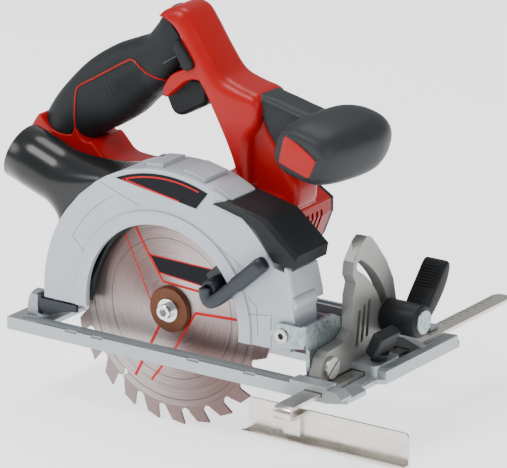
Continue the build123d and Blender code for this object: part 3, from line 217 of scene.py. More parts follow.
def blade_steel():
    """The blade: rings brushed round the axis, painted highlights and shade in broad sectors, a darker
    toothed band, printed rings.
    """
    made, nodes, links, shader = material("blade_steel_look")
    place = nodes.new("ShaderNodeTexCoord")
    shift = nodes.new("ShaderNodeVectorMath")
    shift.operation = "SUBTRACT"
    shift.inputs[1].default_value = (0, 0, AXIS_Z)
    links.new(place.outputs["Object"], shift.inputs[0])
    flat = nodes.new("ShaderNodeVectorMath")
    flat.operation = "MULTIPLY"
    flat.inputs[1].default_value = (1, 0, 1)
    links.new(shift.outputs["Vector"], flat.inputs[0])
    length = nodes.new("ShaderNodeVectorMath")
    length.operation = "LENGTH"
    links.new(flat.outputs["Vector"], length.inputs[0])
    radius = length.outputs["Value"]
    parts = nodes.new("ShaderNodeSeparateXYZ")
    links.new(flat.outputs["Vector"], parts.inputs["Vector"])
    angle = maths(nodes, links, "ARCTAN2", parts.outputs["Z"], parts.outputs["X"])
    ring_place = nodes.new("ShaderNodeCombineXYZ")
    links.new(maths(nodes, links, "MULTIPLY", radius, 900.0), ring_place.inputs["X"])
    links.new(maths(nodes, links, "MULTIPLY", angle, 0.8), ring_place.inputs["Y"])
    rings = noise(nodes, links, ring_place.outputs["Vector"], 2.0, 6.0, 0.7)
    # painted highlight and shade: broad light and dark sectors round the axis, as light falls on a turned
    # surface
    twice = maths(nodes, links, "MULTIPLY", angle, 2.0)
    painted_fans = maths(nodes, links, "MULTIPLY", maths(nodes, links, "SINE", twice), 0.5)
    painted_fans = maths(nodes, links, "ADD", painted_fans, 0.5)
    # rose is the steel's own dark colour; pale is the painted highlight colour that the sectors mix in
    rose = ramp(nodes, links, rings, [(0.3, (0.09, 0.055, 0.052)), (0.7, (0.20, 0.13, 0.122))])
    pale = ramp(nodes, links, rings, [(0.3, (0.30, 0.25, 0.245)), (0.7, (0.58, 0.52, 0.51))])
    colour = mix(nodes, links, painted_fans, rose, pale)
    outer = maths(nodes, links, "GREATER_THAN", radius, 63.5 * MM)
    colour = mix(nodes, links, maths(nodes, links, "MULTIPLY", outer, 0.6), colour, (0.17, 0.105, 0.10))
    for ring, half in ((45.5, 0.3), (51.2, 0.14), (52.4, 0.14), (59.2, 0.35)):
        gap = maths(nodes, links, "SUBTRACT", radius, ring * MM)
        near = maths(nodes, links, "LESS_THAN", maths(nodes, links, "ABSOLUTE", gap), half * MM)
        colour = mix(nodes, links, maths(nodes, links, "MULTIPLY", near, 0.8), colour, (0.06, 0.05, 0.05))
    links.new(colour, shader.inputs["Base Color"])
    shader.inputs["Metallic"].default_value = 0.85
    links.new(spread(nodes, links, rings, 0.25, 0.5), shader.inputs["Roughness"])
    bump(nodes, links, shader, rings, 0.25, 0.03 * MM)
    return made


def clear_plastic():
    """The work light's lens."""
    made, nodes, links, shader = material("clear_lens_look")
    vector = place_vector(nodes, links)
    cloud = noise(nodes, links, vector, 300.0, 2.0)
    links.new(ramp(nodes, links, cloud, [(0.3, (0.75, 0.78, 0.8)), (0.7, (0.9, 0.92, 0.94))]),
              shader.inputs["Base Color"])
    shader.inputs["Transmission Weight"].default_value = 0.6
    shader.inputs["Roughness"].default_value = 0.08
    return made


RED = (0.40, 0.003, 0.003)
BLACK = (0.012, 0.014, 0.016)
looks = {
    "cast_sole": cast("cast_sole_look", (0.40, 0.435, 0.46), 0.6, 0.36),
    "cast_quadrant": cast("cast_quadrant_look", (0.30, 0.297, 0.285), 0.65, 0.36, 500.0, 0.08),
    "guard_casting": cast("guard_casting_look", (0.47, 0.51, 0.56), 0.25, 0.42),
    "case_casting": cast("case_casting_look", (0.5, 0.5, 0.5), 0.7, 0.5),
    "zinc_plate": spangled("zinc_plate_look", (0.30, 0.355, 0.37)),
    "black_bracket": cast("black_bracket_look", (0.03, 0.035, 0.045), 0.5, 0.35),
    "steel_parts": brushed("steel_parts_look", (0.55, 0.54, 0.52), (1, 12, 12), 1.0, 0.32),
    "blade_steel": blade_steel(),
    "flange_bronze": brushed("flange_bronze_look", (0.13, 0.055, 0.032), (14, 1, 14), 0.9, 0.42),
    "chrome_parts": brushed("chrome_parts_look", (0.75, 0.75, 0.75), (6, 1, 6), 1.0, 0.16),
    "nickel_guide": brushed("nickel_guide_look", (0.66, 0.63, 0.58), (1, 16, 4), 1.0, 0.24),
    "red_plastic": moulded("red_plastic_look", RED, 0.36, 800.0, 0.03, 0.15, 0.06),
    "black_plastic": moulded("black_plastic_look", BLACK, 0.45, 700.0, 0.08),
    "gloss_black": moulded("gloss_black_look", (0.012, 0.013, 0.014), 0.22, 500.0, 0.02, 0.3),
    "dark_grey_plastic": moulded("dark_grey_look", (0.026, 0.030, 0.033), 0.42, 650.0, 0.14),
    "grip_rubber": moulded("grip_rubber_look", (0.014, 0.017, 0.019), 0.5, 620.0, 0.16),
    "label_print": moulded("label_print_look", (0.003, 0.004, 0.008), 0.6, 300.0, 0.01),
    "clear_lens": clear_plastic(),
    "copper_parts": brushed("copper_parts_look", (0.62, 0.28, 0.14), (1, 10, 1), 1.0, 0.3),
    "iron_core": cast("iron_core_look", (0.12, 0.12, 0.13), 0.8, 0.5),
    "board_green": moulded("board_green_look", (0.01, 0.09, 0.03), 0.4, 400.0, 0.02, 0.3),
}
line_look = moulded("panel_line_look", (0.16, 0.18, 0.20), 0.6, 400.0, 0.01)
red_print = moulded("red_print_look", (0.55, 0.004, 0.006), 0.5, 300.0, 0.01)

slot_of = {entry["node"]: entry["material_slot"] for entry in frame["record"]["subparts"]}
for node_name, node in frame["nodes"].items():
    node.data.materials.clear()
    node.data.materials.append(looks[slot_of[node_name]])


# ---------------------------------------------------------------- mesh helpers
def finished(name, mesh, body, slot, look=None, smooth=True):
    """An object from a mesh, riding on a body, with its look."""
    piece = bpy.data.objects.new(name, mesh)
    bpy.context.scene.collection.objects.link(piece)
    piece.data.materials.append(look or looks[slot])
    if smooth:
        for polygon in piece.data.polygons:
            polygon.use_smooth = True
    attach(piece, body)
    return piece


def written(name, form):
    """The mesh of a finished bmesh."""
    mesh = bpy.data.meshes.new(name)
    form.to_mesh(mesh)
    form.free()
    return mesh


def tube_mesh(name, rings):
    """A closed skin over rings of points, with a flat cap at each end."""
    form = bmesh.new()
    rows = [[form.verts.new(point) for point in ring] for ring in rings]
    for low, high in zip(rows, rows[1:]):
        for i in range(len(low)):
            j = (i + 1) % len(low)
            form.faces.new((low[i], low[j], high[j], high[i]))
    form.faces.new(list(reversed(rows[0])))
    form.faces.new(rows[-1])
    bmesh.ops.recalc_face_normals(form, faces=form.faces)
    return written(name, form)


def plate_mesh(name, outline, y, thick):
    """A flat plate facing the blade side: outline is (x, z) in mm, y its near face."""
    form = bmesh.new()
    near = [form.verts.new((x * MM, y * MM, z * MM)) for x, z in outline]
    far = [form.verts.new((x * MM, (y + thick) * MM, z * MM)) for x, z in outline]
    form.faces.new(near)
    form.faces.new(list(reversed(far)))
    for i in range(len(near)):
        j = (i + 1) % len(near)
        form.faces.new((near[i], far[i], far[j], near[j]))
    bmesh.ops.recalc_face_normals(form, faces=form.faces)
    return written(name, form)


def strip_outline(points, width):
    """The outline of a strip of this width along points (x, z)."""
    left, right = [], []
    for i, (x, z) in enumerate(points):
        before = points[max(i - 1, 0)]
        after = points[min(i + 1, len(points) - 1)]
        along = (after[0] - before[0], after[1] - before[1])
        size = hypot(*along)
        off = (-along[1] / size * width / 2, along[0] / size * width / 2)
        left.append((x + off[0], z + off[1]))
        right.append((x - off[0], z - off[1]))
    return left + list(reversed(right))


def smooth_path(points, steps=8):
    """Catmull-Rom points through the given ones."""
    path = []
    for i in range(len(points) - 1):
        p0 = points[max(i - 1, 0)]
        p1, p2 = points[i], points[i + 1]
        p3 = points[min(i + 2, len(points) - 1)]
        for k in range(steps):
            t = k / steps
            path.append(tuple(
                0.5 * (2 * b + (c - a) * t + (2 * a - 5 * b + 4 * c - d) * t * t
                       + (3 * b - a - 3 * c + d) * t ** 3)
                for a, b, c, d in zip(p0, p1, p2, p3)))
    path.append(points[-1])
    return path


def wire(name, points, radius, body, slot, look):
    """A thin round bead along points in mm."""
    curve = bpy.data.curves.new(name, "CURVE")
    curve.dimensions = "3D"
    curve.bevel_depth = radius * MM
    curve.bevel_resolution = 2
    spline = curve.splines.new("POLY")
    spline.points.add(len(points) - 1)
    for target, point in zip(spline.points, points):
        target.co = (point[0] * MM, point[1] * MM, point[2] * MM, 1)
    shaped = bpy.data.objects.new(name + "_path", curve)
    mesh = bpy.data.meshes.new_from_object(shaped)
    bpy.data.objects.remove(shaped)
    return finished(name, mesh, body, slot, look)


def about(radius, degrees, centre_x=0.0):
    """A point (x, z) in mm at a radius and angle from the blade's axis."""
    return (centre_x + radius * cos(radians(degrees)), 28 + radius * sin(radians(degrees)))


# ---------------------------------------------------------------- shape helpers
def puffed(name, outline, near, far, rise, axis="y"):
    """A moulded solid between two planes, in mm.

    outline is (u, v, inset), the inset being the width of the rounding there, and rise the
    rounding's depth. The planes face along y, or along x for a piece seen from the front.
    """
    points = smooth_path(outline + [outline[0]], 5)[:-1]
    count = len(points)
    turn = sum(points[i][0] * points[(i + 1) % count][1] - points[(i + 1) % count][0] * points[i][1]
               for i in range(count))
    side = 1 if turn > 0 else -1
    inward = []
    for i in range(count):
        before, after = points[i - 1], points[(i + 1) % count]
        along = (after[0] - before[0], after[1] - before[1])
        size = hypot(*along) or 1.0
        inward.append((-along[1] / size * side, along[0] / size * side))
    steps = 5
    quarter = [pi / 2 * k / steps for k in range(steps + 1)]
    levels = [(1 - sin(turn), 1 - cos(turn), near, 1) for turn in quarter]
    levels += [(1 - sin(turn), 1 - cos(turn), far, -1) for turn in reversed(quarter)]
    form = bmesh.new()
    rows = []
    for share, depth, face, way in levels:
        row = []
        for (u, v, inset), (nu, nv) in zip(points, inward):
            a, b = u + nu * inset * share, v + nv * inset * share
            level = face + way * min(rise, 1.4 * inset) * depth
            place = (a, level, b) if axis == "y" else (level, a, b)
            row.append(form.verts.new([c * MM for c in place]))
        rows.append(row)
    for low, high in zip(rows, rows[1:]):
        for i in range(count):
            j = (i + 1) % count
            form.faces.new((low[i], low[j], high[j], high[i]))
    for row in (rows[0], rows[-1]):
        edges = []
        for i in range(count):
            edges.append(form.edges.get((row[i], row[(i + 1) % count])))
        bmesh.ops.triangle_fill(form, use_beauty=True, edges=edges)
    bmesh.ops.recalc_face_normals(form, faces=form.faces)
    return written(name, form)


def moulding(name, outline, near, far, rise, body, slot):
    """A moulded solid facing along y, on its body."""
    return finished(name, puffed(name, outline, near, far, rise), body, slot)


def rounded_ring(centre, across, up, half_a, half_b, power, count=48):
    """Points of a superellipse, in metres; across and up are unit vectors, sizes are in mm."""
    ring = []
    for k in range(count):
        turn = 2 * pi * k / count
        c, s = cos(turn), sin(turn)
        a = half_a * (abs(c) ** (2 / power)) * (1 if c >= 0 else -1)
        b = half_b * (abs(s) ** (2 / power)) * (1 if s >= 0 else -1)
        ring.append((Vector(centre) + Vector(across) * a + Vector(up) * b) * MM)
    return ring


# ---------------------------------------------------------------- red loop of the handle
leg = [
    (-28.5, 205.5, 2), (-26, 209, 4), (-18, 212, 9), (-10, 210, 9), (-3, 201.5, 9), (6, 188, 9),
    (17, 174, 9), (29, 169, 8), (43, 165, 6), (46, 156, 4), (43, 145, 4), (37.5, 137, 5),
    (36, 127, 5), (36.5, 112, 5), (40, 99, 4), (46, 90, 2), (30, 88, 2), (22, 96, 2),
    (26.5, 104, 3), (29, 110, 3), (27, 119, 3), (21, 133, 3), (13, 148, 3), (5, 162, 3),
    (0, 170, 2), (-4, 177, 2), (-10.5, 189, 2), (-14, 196.5, 2), (-20, 202, 2), (-25, 204.2, 2),
]
red_leg = moulding("handle_leg", leg, HANDLE_NEAR_FACE, HANDLE_FAR_FACE, 8, "saw_body", "red_plastic")
back_leg = [
    (30, 166, 3), (43, 163, 3), (47, 147, 4), (56, 133, 5), (63, 120, 5), (69, 107, 5), (67, 95, 3),
    (58, 90, 2), (30, 90, 2), (28, 110, 2), (26, 140, 2),
]
moulding("handle_leg_back", back_leg, 35, 61.2, 6, "saw_body", "red_plastic")
under = [
    (-26, 154.6, 1.4), (-25.6, 160, 1.6), (-19.8, 169, 1.8), (-7, 175.5, 1.8), (0, 178, 1),
    (6, 168, 1), (1, 168.6, 1), (-3.6, 168.2, 1.4), (-10, 165, 1.6), (-17, 159, 1.4),
    (-22.5, 154.2, 1.2),
]
moulding("handle_trigger_arch", under, HANDLE_NEAR_FACE + 0.2, HANDLE_FAR_FACE - 0.2, 4, "saw_body",
         "red_plastic")
bar = [
    (-131, 109, 3), (-130, 116, 3), (-126, 122.5, 2), (-121.5, 126.5, 1), (-117.5, 122, 0.8),
    (-112, 118, 0.8), (-105, 116.2, 0.8), (-97, 117.2, 0.8), (-94.8, 121, 0.6), (-93, 121, 0.6),
    (-90.5, 116.6, 0.8), (-86, 114.2, 0.8), (-81.5, 114.6, 1.5), (-77, 111, 2), (-70, 104.6, 2.5),
    (-60, 103, 3), (-40, 102.8, 3), (0, 102.8, 3), (27, 103.6, 3), (40, 104, 2), (60, 103, 3),
    (66, 97, 3), (60, 92.3, 1), (0, 92.3, 1), (-60, 92.3, 1), (-112, 92.3, 1), (-123, 92.6, 2),
    (-130, 101, 2.5),
]
moulding("handle_bar", bar, HANDLE_NEAR_FACE + 0.3, HANDLE_FAR_FACE - 0.3, 6, "saw_body", "red_plastic")

# ---------------------------------------------------------------- black grip
# stations along the grip: upper point and lower point in the handle's plane, half depth
stations = [
    ((-128.5, 117), (-101, 101), 14), ((-123, 126.5), (-98, 104.5), 15.5),
    ((-114.3, 139.7), (-92, 109), 16.6), ((-101.4, 154.3), (-81, 117.5), 17),
    ((-88.4, 166.2), (-67, 125.5), 17.2), ((-71.6, 177), (-53.5, 134.5), 17.2),
    ((-57, 183.4), (-46, 142), 17), ((-44.5, 189), (-36.5, 151), 16.8),
    ((-37, 197), (-25, 163), 16.6), ((-31, 205.5), (-16, 176), 16.2), ((-27, 209.5), (-9, 187), 15.6),
]
rows_in = smooth_path([(*a, *b, depth) for a, b, depth in stations], 22)
HANDLE_Y = 44.0
GRIP_POWER = 2.5


def grip_frame(row):
    """Centre, unit vector up and half width of the grip at a station."""
    upper, lower = Vector((row[0], row[1])), Vector((row[2], row[3]))
    return (upper + lower) / 2, (upper - lower).normalized(), (upper - lower).length / 2


def on_grip(x, z, lift=0.0):
    """The point of the grip's near side at (x, z), in mm."""
    best = None
    for row in rows_in:
        middle, up, half = grip_frame(row)
        gap = Vector((x, z)) - middle
        v = gap.dot(up)
        off = abs(gap.dot(Vector((up.y, -up.x))))
        if best is None or off < best[0]:
            best = (off, min(0.999, abs(v) / half), row[4])
    y = HANDLE_Y - best[2] * (1 - best[1] ** GRIP_POWER) ** (1 / GRIP_POWER) - lift
    return (x, y, z)


grip_rings = []
around = 72
for index, row in enumerate(rows_in):
    middle, up, half = grip_frame(row)
    ring = []
    along = index / (len(rows_in) - 1)
    for k in range(around):
        turn = 2 * pi * k / around
        c, s = cos(turn), sin(turn)
        u = (abs(s) ** (2 / GRIP_POWER)) * (1 if s >= 0 else -1)
        w = (abs(c) ** (2 / GRIP_POWER)) * (1 if c >= 0 else -1)
        deep = 0.0
        # fine ridges across the near pad, towards its front
        if 0.42 < along < 0.70 and w > 0.12 and u < 0.22:
            fade = min(1.0, (along - 0.42) / 0.05, (0.70 - along) / 0.03, (0.22 - u) / 0.15,
                       (w - 0.12) / 0.2)
            deep = 0.95 * fade * (0.5 + 0.5 * sin(2 * pi * index / 4.0))
        place = Vector((middle.x, HANDLE_Y, middle.y))
        place += Vector((up.x, 0, up.y)) * (u * (half - deep))
        place += Vector((0, -1, 0)) * (w * (row[4] - deep))
        ring.append(place * MM)
    grip_rings.append(ring)
grip = finished("grip", tube_mesh("grip", grip_rings), "saw_body", "grip_rubber")

pad_line = [
    (-93.5, 112), (-94, 120), (-93.5, 140), (-92.4, 147.5), (-88.5, 151.3), (-80, 156.2),
    (-66, 164.8), (-53.5, 172.3), (-50.5, 173.6), (-47.2, 173), (-44.5, 171.2), (-37, 166.6),
    (-27, 162.4),
]
wire("grip_piping", [on_grip(x, z, 0.15) for x, z in smooth_path(pad_line, 6)], 0.6, "saw_body",
     "red_plastic", looks["red_plastic"])
wire("grip_mark", [on_grip(x, z, 0.0) for x, z in ((-26, 175), (-22, 178), (-18, 180.5))], 0.22,
     "saw_body", "grip_rubber", line_look)
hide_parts("grip_pads")
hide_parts("handle_shell_near", "handle_shell_far")

# ---------------------------------------------------------------- lock-off button and trigger
button = [
    (-16.6, 188.6, 1.2), (-13, 192.6, 1.2), (-9.5, 190.6, 1.2), (-1.4, 179.4, 1.2),
    (-3.4, 175.2, 1.2), (-8, 174.8, 1.2), (-12, 180.6, 1.2),
]
button_piece = moulding("lock_off", button, 23.6, 36, 2, "lock_off", "black_plastic")
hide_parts("lock_off_button")
trigger_line = [
    (-29, 154, 3), (-27, 149, 3), (-24, 143.4, 3), (-20.5, 141.2, 3), (-15.5, 141.6, 3),
    (-7, 146.4, 3), (1, 151, 3), (2, 156, 2), (0, 166, 2), (-14, 166, 2), (-27, 160, 2),
]
trigger_piece = moulding("trigger_blade", trigger_line, 33.5, 54.5, 4, "trigger_body", "black_plastic")
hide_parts("trigger")

# ---------------------------------------------------------------- front handle
lean = radians(-14)
across = (cos(lean), 0, sin(lean))
upward = (-sin(lean), 0, cos(lean))
knob_rows = [
    (9.6, 87.5, 139, 13, 9, 2.6), (9.7, 87.5, 139, 15.5, 11.5, 2.8),
    (10.4, 87.6, 139, 17.3, 13.2, 3), (12.5, 88, 139, 19, 15, 3),
    (16.5, 88.8, 139.2, 20.6, 16.6, 3), (24, 90.3, 139.6, 21.8, 18, 3),
    (36, 92.6, 140, 22.6, 18.8, 2.9), (50, 94.8, 140.4, 22.8, 19, 2.8),
    (60, 96, 140.8, 21.8, 18.4, 2.7), (69, 96.6, 141.2, 19, 16.2, 2.5),
    (75.5, 96.8, 141.4, 15, 13, 2.4), (79.5, 96.9, 141.5, 9.5, 8.5, 2.3),
    (80.8, 97, 141.5, 3.5, 3, 2.2),
]
knob_fine = smooth_path(knob_rows, 5)
knob_rings = [rounded_ring((x, y, z), across, upward, a, b, power, 64)
              for y, x, z, a, b, power in knob_fine]
knob = finished("front_grip", tube_mesh("front_grip", knob_rings), "saw_body", "dark_grey_plastic")
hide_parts("front_handle")
neck = [
    (41, 165.4, 3), (52, 163.8, 5), (66, 160.6, 5), (84, 155, 5), (86, 140, 5), (74, 134.4, 4),
    (58, 131.6, 4), (50, 141, 3), (45, 150, 3), (41, 158, 3),
]
moulding("front_grip_neck", neck, 32, 57, 7, "saw_body", "dark_grey_plastic")


def knob_panel(grow):
    """The outline of the panel in the knob's end, grown by some mm."""
    corners = [
        (-12.5, 9.5), (-2, 8.2), (11.2, 3.6), (12.2, 0.5), (10.5, -8.4), (8.6, -10), (-9.5, -9),
        (-12.6, -7.6),
    ]
    line = []
    for a, b in corners:
        a, b = a + grow * (1 if a > 0 else -1), b + grow * (1 if b > 0 else -1)
        line.append((87.6 + across[0] * a + upward[0] * b, 139 + across[2] * a + upward[2] * b, 0.7))
    return line


moulding("front_panel_seam", knob_panel(0.9), 9.3, 14, 0.5, "saw_body", "gloss_black")
panel = moulding("front_panel", knob_panel(0), 8.7, 14, 0.9, "saw_body", "red_plastic")
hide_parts("front_handle_insert")

# ---------------------------------------------------------------- dust port
port_turn = radians(20)
port_dir = Vector((-cos(port_turn), 0, sin(port_turn)))
port_up = Vector((sin(port_turn), 0, cos(port_turn)))
port_origin = Vector((-86, 5, 97))


def port_circle(along, radius, count=72):
    """A circle round the dust port's axis, in mm."""
    return [port_origin + port_dir * along + Vector((0, -1, 0)) * (radius * cos(2 * pi * k / count))
            + port_up * (radius * sin(2 * pi * k / count)) for k in range(count)]


def port_base(inset, count=72):
    """The dust port's edge on the drum, a rounded rectangle wrapped round it."""
    line = []
    for k in range(count):
        c, s = cos(2 * pi * k / count), sin(2 * pi * k / count)
        a = (abs(c) ** (2 / 6)) * (1 if c >= 0 else -1)
        b = (abs(s) ** (2 / 6)) * (1 if s >= 0 else -1)
        degrees = 134.5 - 21 * b
        x, z = about(93.7 - inset, degrees, 4)
        line.append(Vector((x, 3.5 - (17.0 - inset) * a, z)))
    return line


port_rings = [port_circle(30, 15.6), port_circle(34.2, 16.0), port_circle(35, 16.6),
              port_circle(35, 17.6),
              port_circle(34.2, 18.5), port_circle(20, 18.5), port_circle(6, 18.5), port_circle(3, 18.5)]
start, finish = port_circle(3, 18.5), port_base(0)
FLARE_STEPS = 12
for flare_step in range(1, FLARE_STEPS + 1):
    share = flare_step / FLARE_STEPS
    bend = share * share * (3 - 2 * share)
    ring = []
    for p, q in zip(start, finish):
        ahead = p - port_dir * (26 * share)
        ring.append(ahead * (1 - bend) + q * bend)
    port_rings.append(ring)
port_rings.append(port_base(1.5))
port = finished("dust_tube", tube_mesh("dust_tube", [[p * MM for p in ring] for ring in port_rings]),
                "saw_body", "gloss_black")
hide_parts("dust_port")

# ---------------------------------------------------------------- lower guard's lever
arm_points = [
    (40.5, 55), (41.0, 50.5), (43.5, 47.2), (49, 49.5), (58, 57), (70, 67.5), (80.5, 77.0),
]
arm_path = smooth_path(arm_points, 6)
arm_rings = []
for i, (x, z) in enumerate(arm_path):
    before, after = arm_path[max(i - 1, 0)], arm_path[min(i + 1, len(arm_path) - 1)]
    along = Vector((after[0] - before[0], 0, after[1] - before[1])).normalized()
    off = Vector((-along.z, 0, along.x))
    share = i / (len(arm_path) - 1)
    thick = 4.3 if share < 0.75 else 5.0
    arm_rings.append(rounded_ring((x, -20.5, z), off, (0, -1, 0), thick, 4.2 + 0.5 * share, 3.2, 32))
end = Vector((arm_path[-1][0], -20.5, arm_path[-1][1]))
arm_rings.append(rounded_ring(tuple(end + along * 3.0), off, (0, -1, 0), 4.4, 4.0, 2.8, 32))
arm_rings.append(rounded_ring(tuple(end + along * 4.0), off, (0, -1, 0), 3.0, 2.6, 2.4, 32))
arm = finished("guard_arm", tube_mesh("guard_arm", arm_rings), "lower_guard_body", "black_bracket")
hub_x, hub_z = about(49, 32)
hub_rings = [rounded_ring((hub_x, y, hub_z), (1, 0, 0), (0, 0, 1), r, r, 2, 40)
             for y, r in ((-8, 6.2), (-19.6, 5.6), (-20.6, 5.0), (-20.6, 2.6), (-13, 2.4))]
finished("guard_arm_socket", tube_mesh("guard_arm_socket", hub_rings), "lower_guard_body",
         "black_bracket")
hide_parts("lower_guard_lever")

# ---------------------------------------------------------------- guard's front face
front_step = [
    (96, 49.5, 0.5), (100.6, 49.2, 0.8), (101.4, 52, 0.8), (100.8, 55.4, 0.8), (98.6, 57.6, 0.8),
    (95, 57.6, 0.5),
]
moulding("guard_front_step", front_step, -12.6, 11.2, 1.2, "saw_body", "guard_casting")
rib_line = [(93, 58, 0.4), (99.5, 58, 0.8), (97.6, 68, 0.8), (96, 75, 0.8), (93, 75, 0.4)]
moulding("guard_front_rib", rib_line, -13.4, -9.6, 0.9, "saw_body", "guard_casting")

# partly painted shade: a thin black crescent inside the window's rear edge, standing for the lower guard's
# dark edge and for the shade on the guard's inner wall there; its width swells along the arc
EDGE_SHADE_STEPS, EDGE_SHADE_CENTRE_X = 24, 2.0
EDGE_SHADE_INNER, EDGE_SHADE_OUTER, EDGE_SHADE_SWELL = 58.8, 67.0, 2.8
edge_shade_shares = [k / EDGE_SHADE_STEPS for k in range(EDGE_SHADE_STEPS + 1)]
edge_shade_turns = [95 + 89 * share for share in edge_shade_shares]
edge_shade_widths = [EDGE_SHADE_SWELL * sin(pi * share ** 1.8) ** 0.7 for share in edge_shade_shares]
edge_shade_inner = [about(EDGE_SHADE_INNER - wide, turn, EDGE_SHADE_CENTRE_X)
               for wide, turn in zip(edge_shade_widths, edge_shade_turns)]
edge_shade_outer = [about(EDGE_SHADE_OUTER, turn, EDGE_SHADE_CENTRE_X) for turn in edge_shade_turns]
finished("guard_dark_edge_and_shade", plate_mesh("guard_dark_edge_and_shade", edge_shade_inner + edge_shade_outer[::-1], -6.4, 0.7), "saw_body",
         "black_plastic")


def raised_marks(name, outlines, surface, height, body, slot):
    """Small raised marks on a level surface: each outline is (x, y) in mm."""
    form = bmesh.new()
    for outline in outlines:
        low = [form.verts.new((u * MM, v * MM, (surface - 0.3) * MM)) for u, v in outline]
        top = [form.verts.new((u * MM, v * MM, (surface + height) * MM)) for u, v in outline]
        form.faces.new(low[::-1])
        form.faces.new(top)
        for k in range(4):
            form.faces.new((low[k], low[(k + 1) % 4], top[(k + 1) % 4], top[k]))
    return finished(name, written(name, form), body, slot, smooth=False)


# graduation along the fence's rail
RAIL_TOP, TICK_PITCH = 5.8, 4.5
rail_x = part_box("guide_rail")[0].x / MM
ticks = [(rail_x + 0.6, 18 + TICK_PITCH * k, rail_x + (5.4 if k % 2 == 0 else 3.4)) for k in range(38)]
tick_marks = [((a, y), (b, y), (b, y + 0.5), (a, y + 0.5)) for a, y, b in ticks]
raised_marks("rail_scale", tick_marks, RAIL_TOP, 0.05, "guide", "black_plastic")
# hatching on the sole's front rim
SOLE_RIM_TOP, HATCH_PITCH = 8.2, 2.6
hatches = [27 + HATCH_PITCH * k for k in range(30)]
hatch_marks = [((136.8, y), (142.2, y + 2.4), (142.2, y + 3.4), (136.8, y + 1)) for y in hatches]
raised_marks("sole_hatch", hatch_marks, SOLE_RIM_TOP, 0.4, "base", "cast_sole")

# ---------------------------------------------------------------- bevel lever
low_box, high_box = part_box("bevel_lever_cap")
clamp_y = (low_box.y + high_box.y) / 2 / MM
clamp_z = (low_box.z + high_box.z) / 2 / MM
lever_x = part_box("bevel_lever")[0].x / MM
hub_rings = [rounded_ring((lever_x + d, clamp_y, clamp_z), (0, 1, 0), (0, 0, 1), r, r, 2, 56)
             for d, r in ((0, 9.6), (0.6, 10.4), (2, 10.6), (24.5, 10.5), (25.7, 9.9), (26, 9), (26, 3))]
hub = finished("lever_hub", tube_mesh("lever_hub", hub_rings), "bevel_clamp", "black_plastic")
paddle = [
    (3, -3, 1), (8, -0.5, 1.5), (13.3, 4.2, 1.5), (18, 9.8, 1.5), (22, 14.2, 1.5),
    (28.5, 21.4, 1.5), (33.6, 27, 1.5), (37, 28.4, 2), (39.6, 25.6, 2), (38.4, 19.5, 2),
    (35.5, 14, 2), (30, 7, 2), (20, -2, 2), (9, -7.5, 1.5), (3, -6, 1),
]
finished("lever_paddle",
         puffed("lever_paddle", [(clamp_y + a, clamp_z + b, c) for a, b, c in paddle], lever_x + 3.6,
                lever_x + 21, 2.2, "x"), "bevel_clamp", "black_plastic")
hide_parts("bevel_lever")
for rib in range(8):
    a, b = 22.6 + 1.35 * rib, 14.9 + 1.48 * rib
    wire("lever_rib_%d" % rib, [(lever_x + 5.2, clamp_y + a, clamp_z + b),
                                (lever_x + 19.4, clamp_y + a, clamp_z + b)],
         0.62, "bevel_clamp", "black_plastic", looks["black_plastic"])
for rib in range(4):
    x = lever_x + 7.2 + 2.7 * rib
    wire("lever_flute_%d" % rib, [(x, clamp_y + 14.6, clamp_z + 5.8),
                                  (x, clamp_y + 20.6, clamp_z + 12.8)], 0.55,
         "bevel_clamp", "black_plastic", looks["black_plastic"])

# ---------------------------------------------------------------- prints on the guard and the blade
# near faces of the guard and of the blade, in mm
GUARD_FACE = -13.0
BLADE_FACE = -0.8
# how far the prints stand off the face under them; the label has a rim
BORDER_LIFT = 0.46
PRINT_LIFT = 0.08


def printed(name, outline, body, y, look, slot):
    """A thin flat mark facing the blade side."""
    return finished(name, plate_mesh(name, outline, y, 0.1), body, slot, look, False)


edge_arc = [about(88.3, d, 4) for d in range(111, 72, -2)]
printed("label_border_top", strip_outline(edge_arc, 1.0), "saw_body", GUARD_FACE - BORDER_LIFT, red_print,
        "label_print")
printed("label_border_low", strip_outline([(-26.6, 111.4), (-25, 110.6), (2, 105.9), (15, 103.9)], 1.0),
        "saw_body", GUARD_FACE - BORDER_LIFT, red_print, "label_print")
panel_lines = [
    [(-65.6, 65.4), (-56.3, 55.9)], [(-44.5, 105.4), (-14.6, 95.3)], [(27, 86.5), (45, 79.5), (66, 68.5)],
    [about(80.4, d, 4) for d in range(152, 116, -3)],
    [(58.8, 66.5), (58, 72), (64.5, 65)],
    [(66.5, 52), (72.5, 47), (73.6, 28)], [(66, 41), (81, 43)],
]
for number, line in enumerate(panel_lines):
    printed("panel_line_%d" % number, strip_outline(line, 0.35), "saw_body",
            GUARD_FACE - PRINT_LIFT, line_look, "guard_casting")

red_marks = [
    ([(-26.7, 76.4), (-17.9, 61.9), (-6.2, 44.7), (21.2, 43.3)], 1.7),
    ([(-34.8, 70.4), (-15.4, 29.8)], 0.9), ([(18.2, 28.6), (49.4, 30.4)], 1.9),
    ([(18.2, 28.6), (3.2, 3.3), (-7.4, -11.3), (-15.5, -21.9)], 1.5),
    ([(-9.2, 14.9), (-27.9, -21.4)], 1.9), ([(-16.8, 60.6), (37.6, 59.4)], 0.8),
    ([(-9.4, 50.0), (34, 46.6)], 0.8),
]
for number, (line, width) in enumerate(red_marks):
    printed("blade_stripe_%d" % number, strip_outline(line, width), "spindle", BLADE_FACE - 0.09, red_print,
            "blade_steel")
printed("blade_band", [(-16.6, 60.4), (37.6, 59.2), (43.6, 52.6), (45, 46.2), (-9.2, 50.2)], "spindle",
        BLADE_FACE - 0.06, looks["label_print"], "label_print")


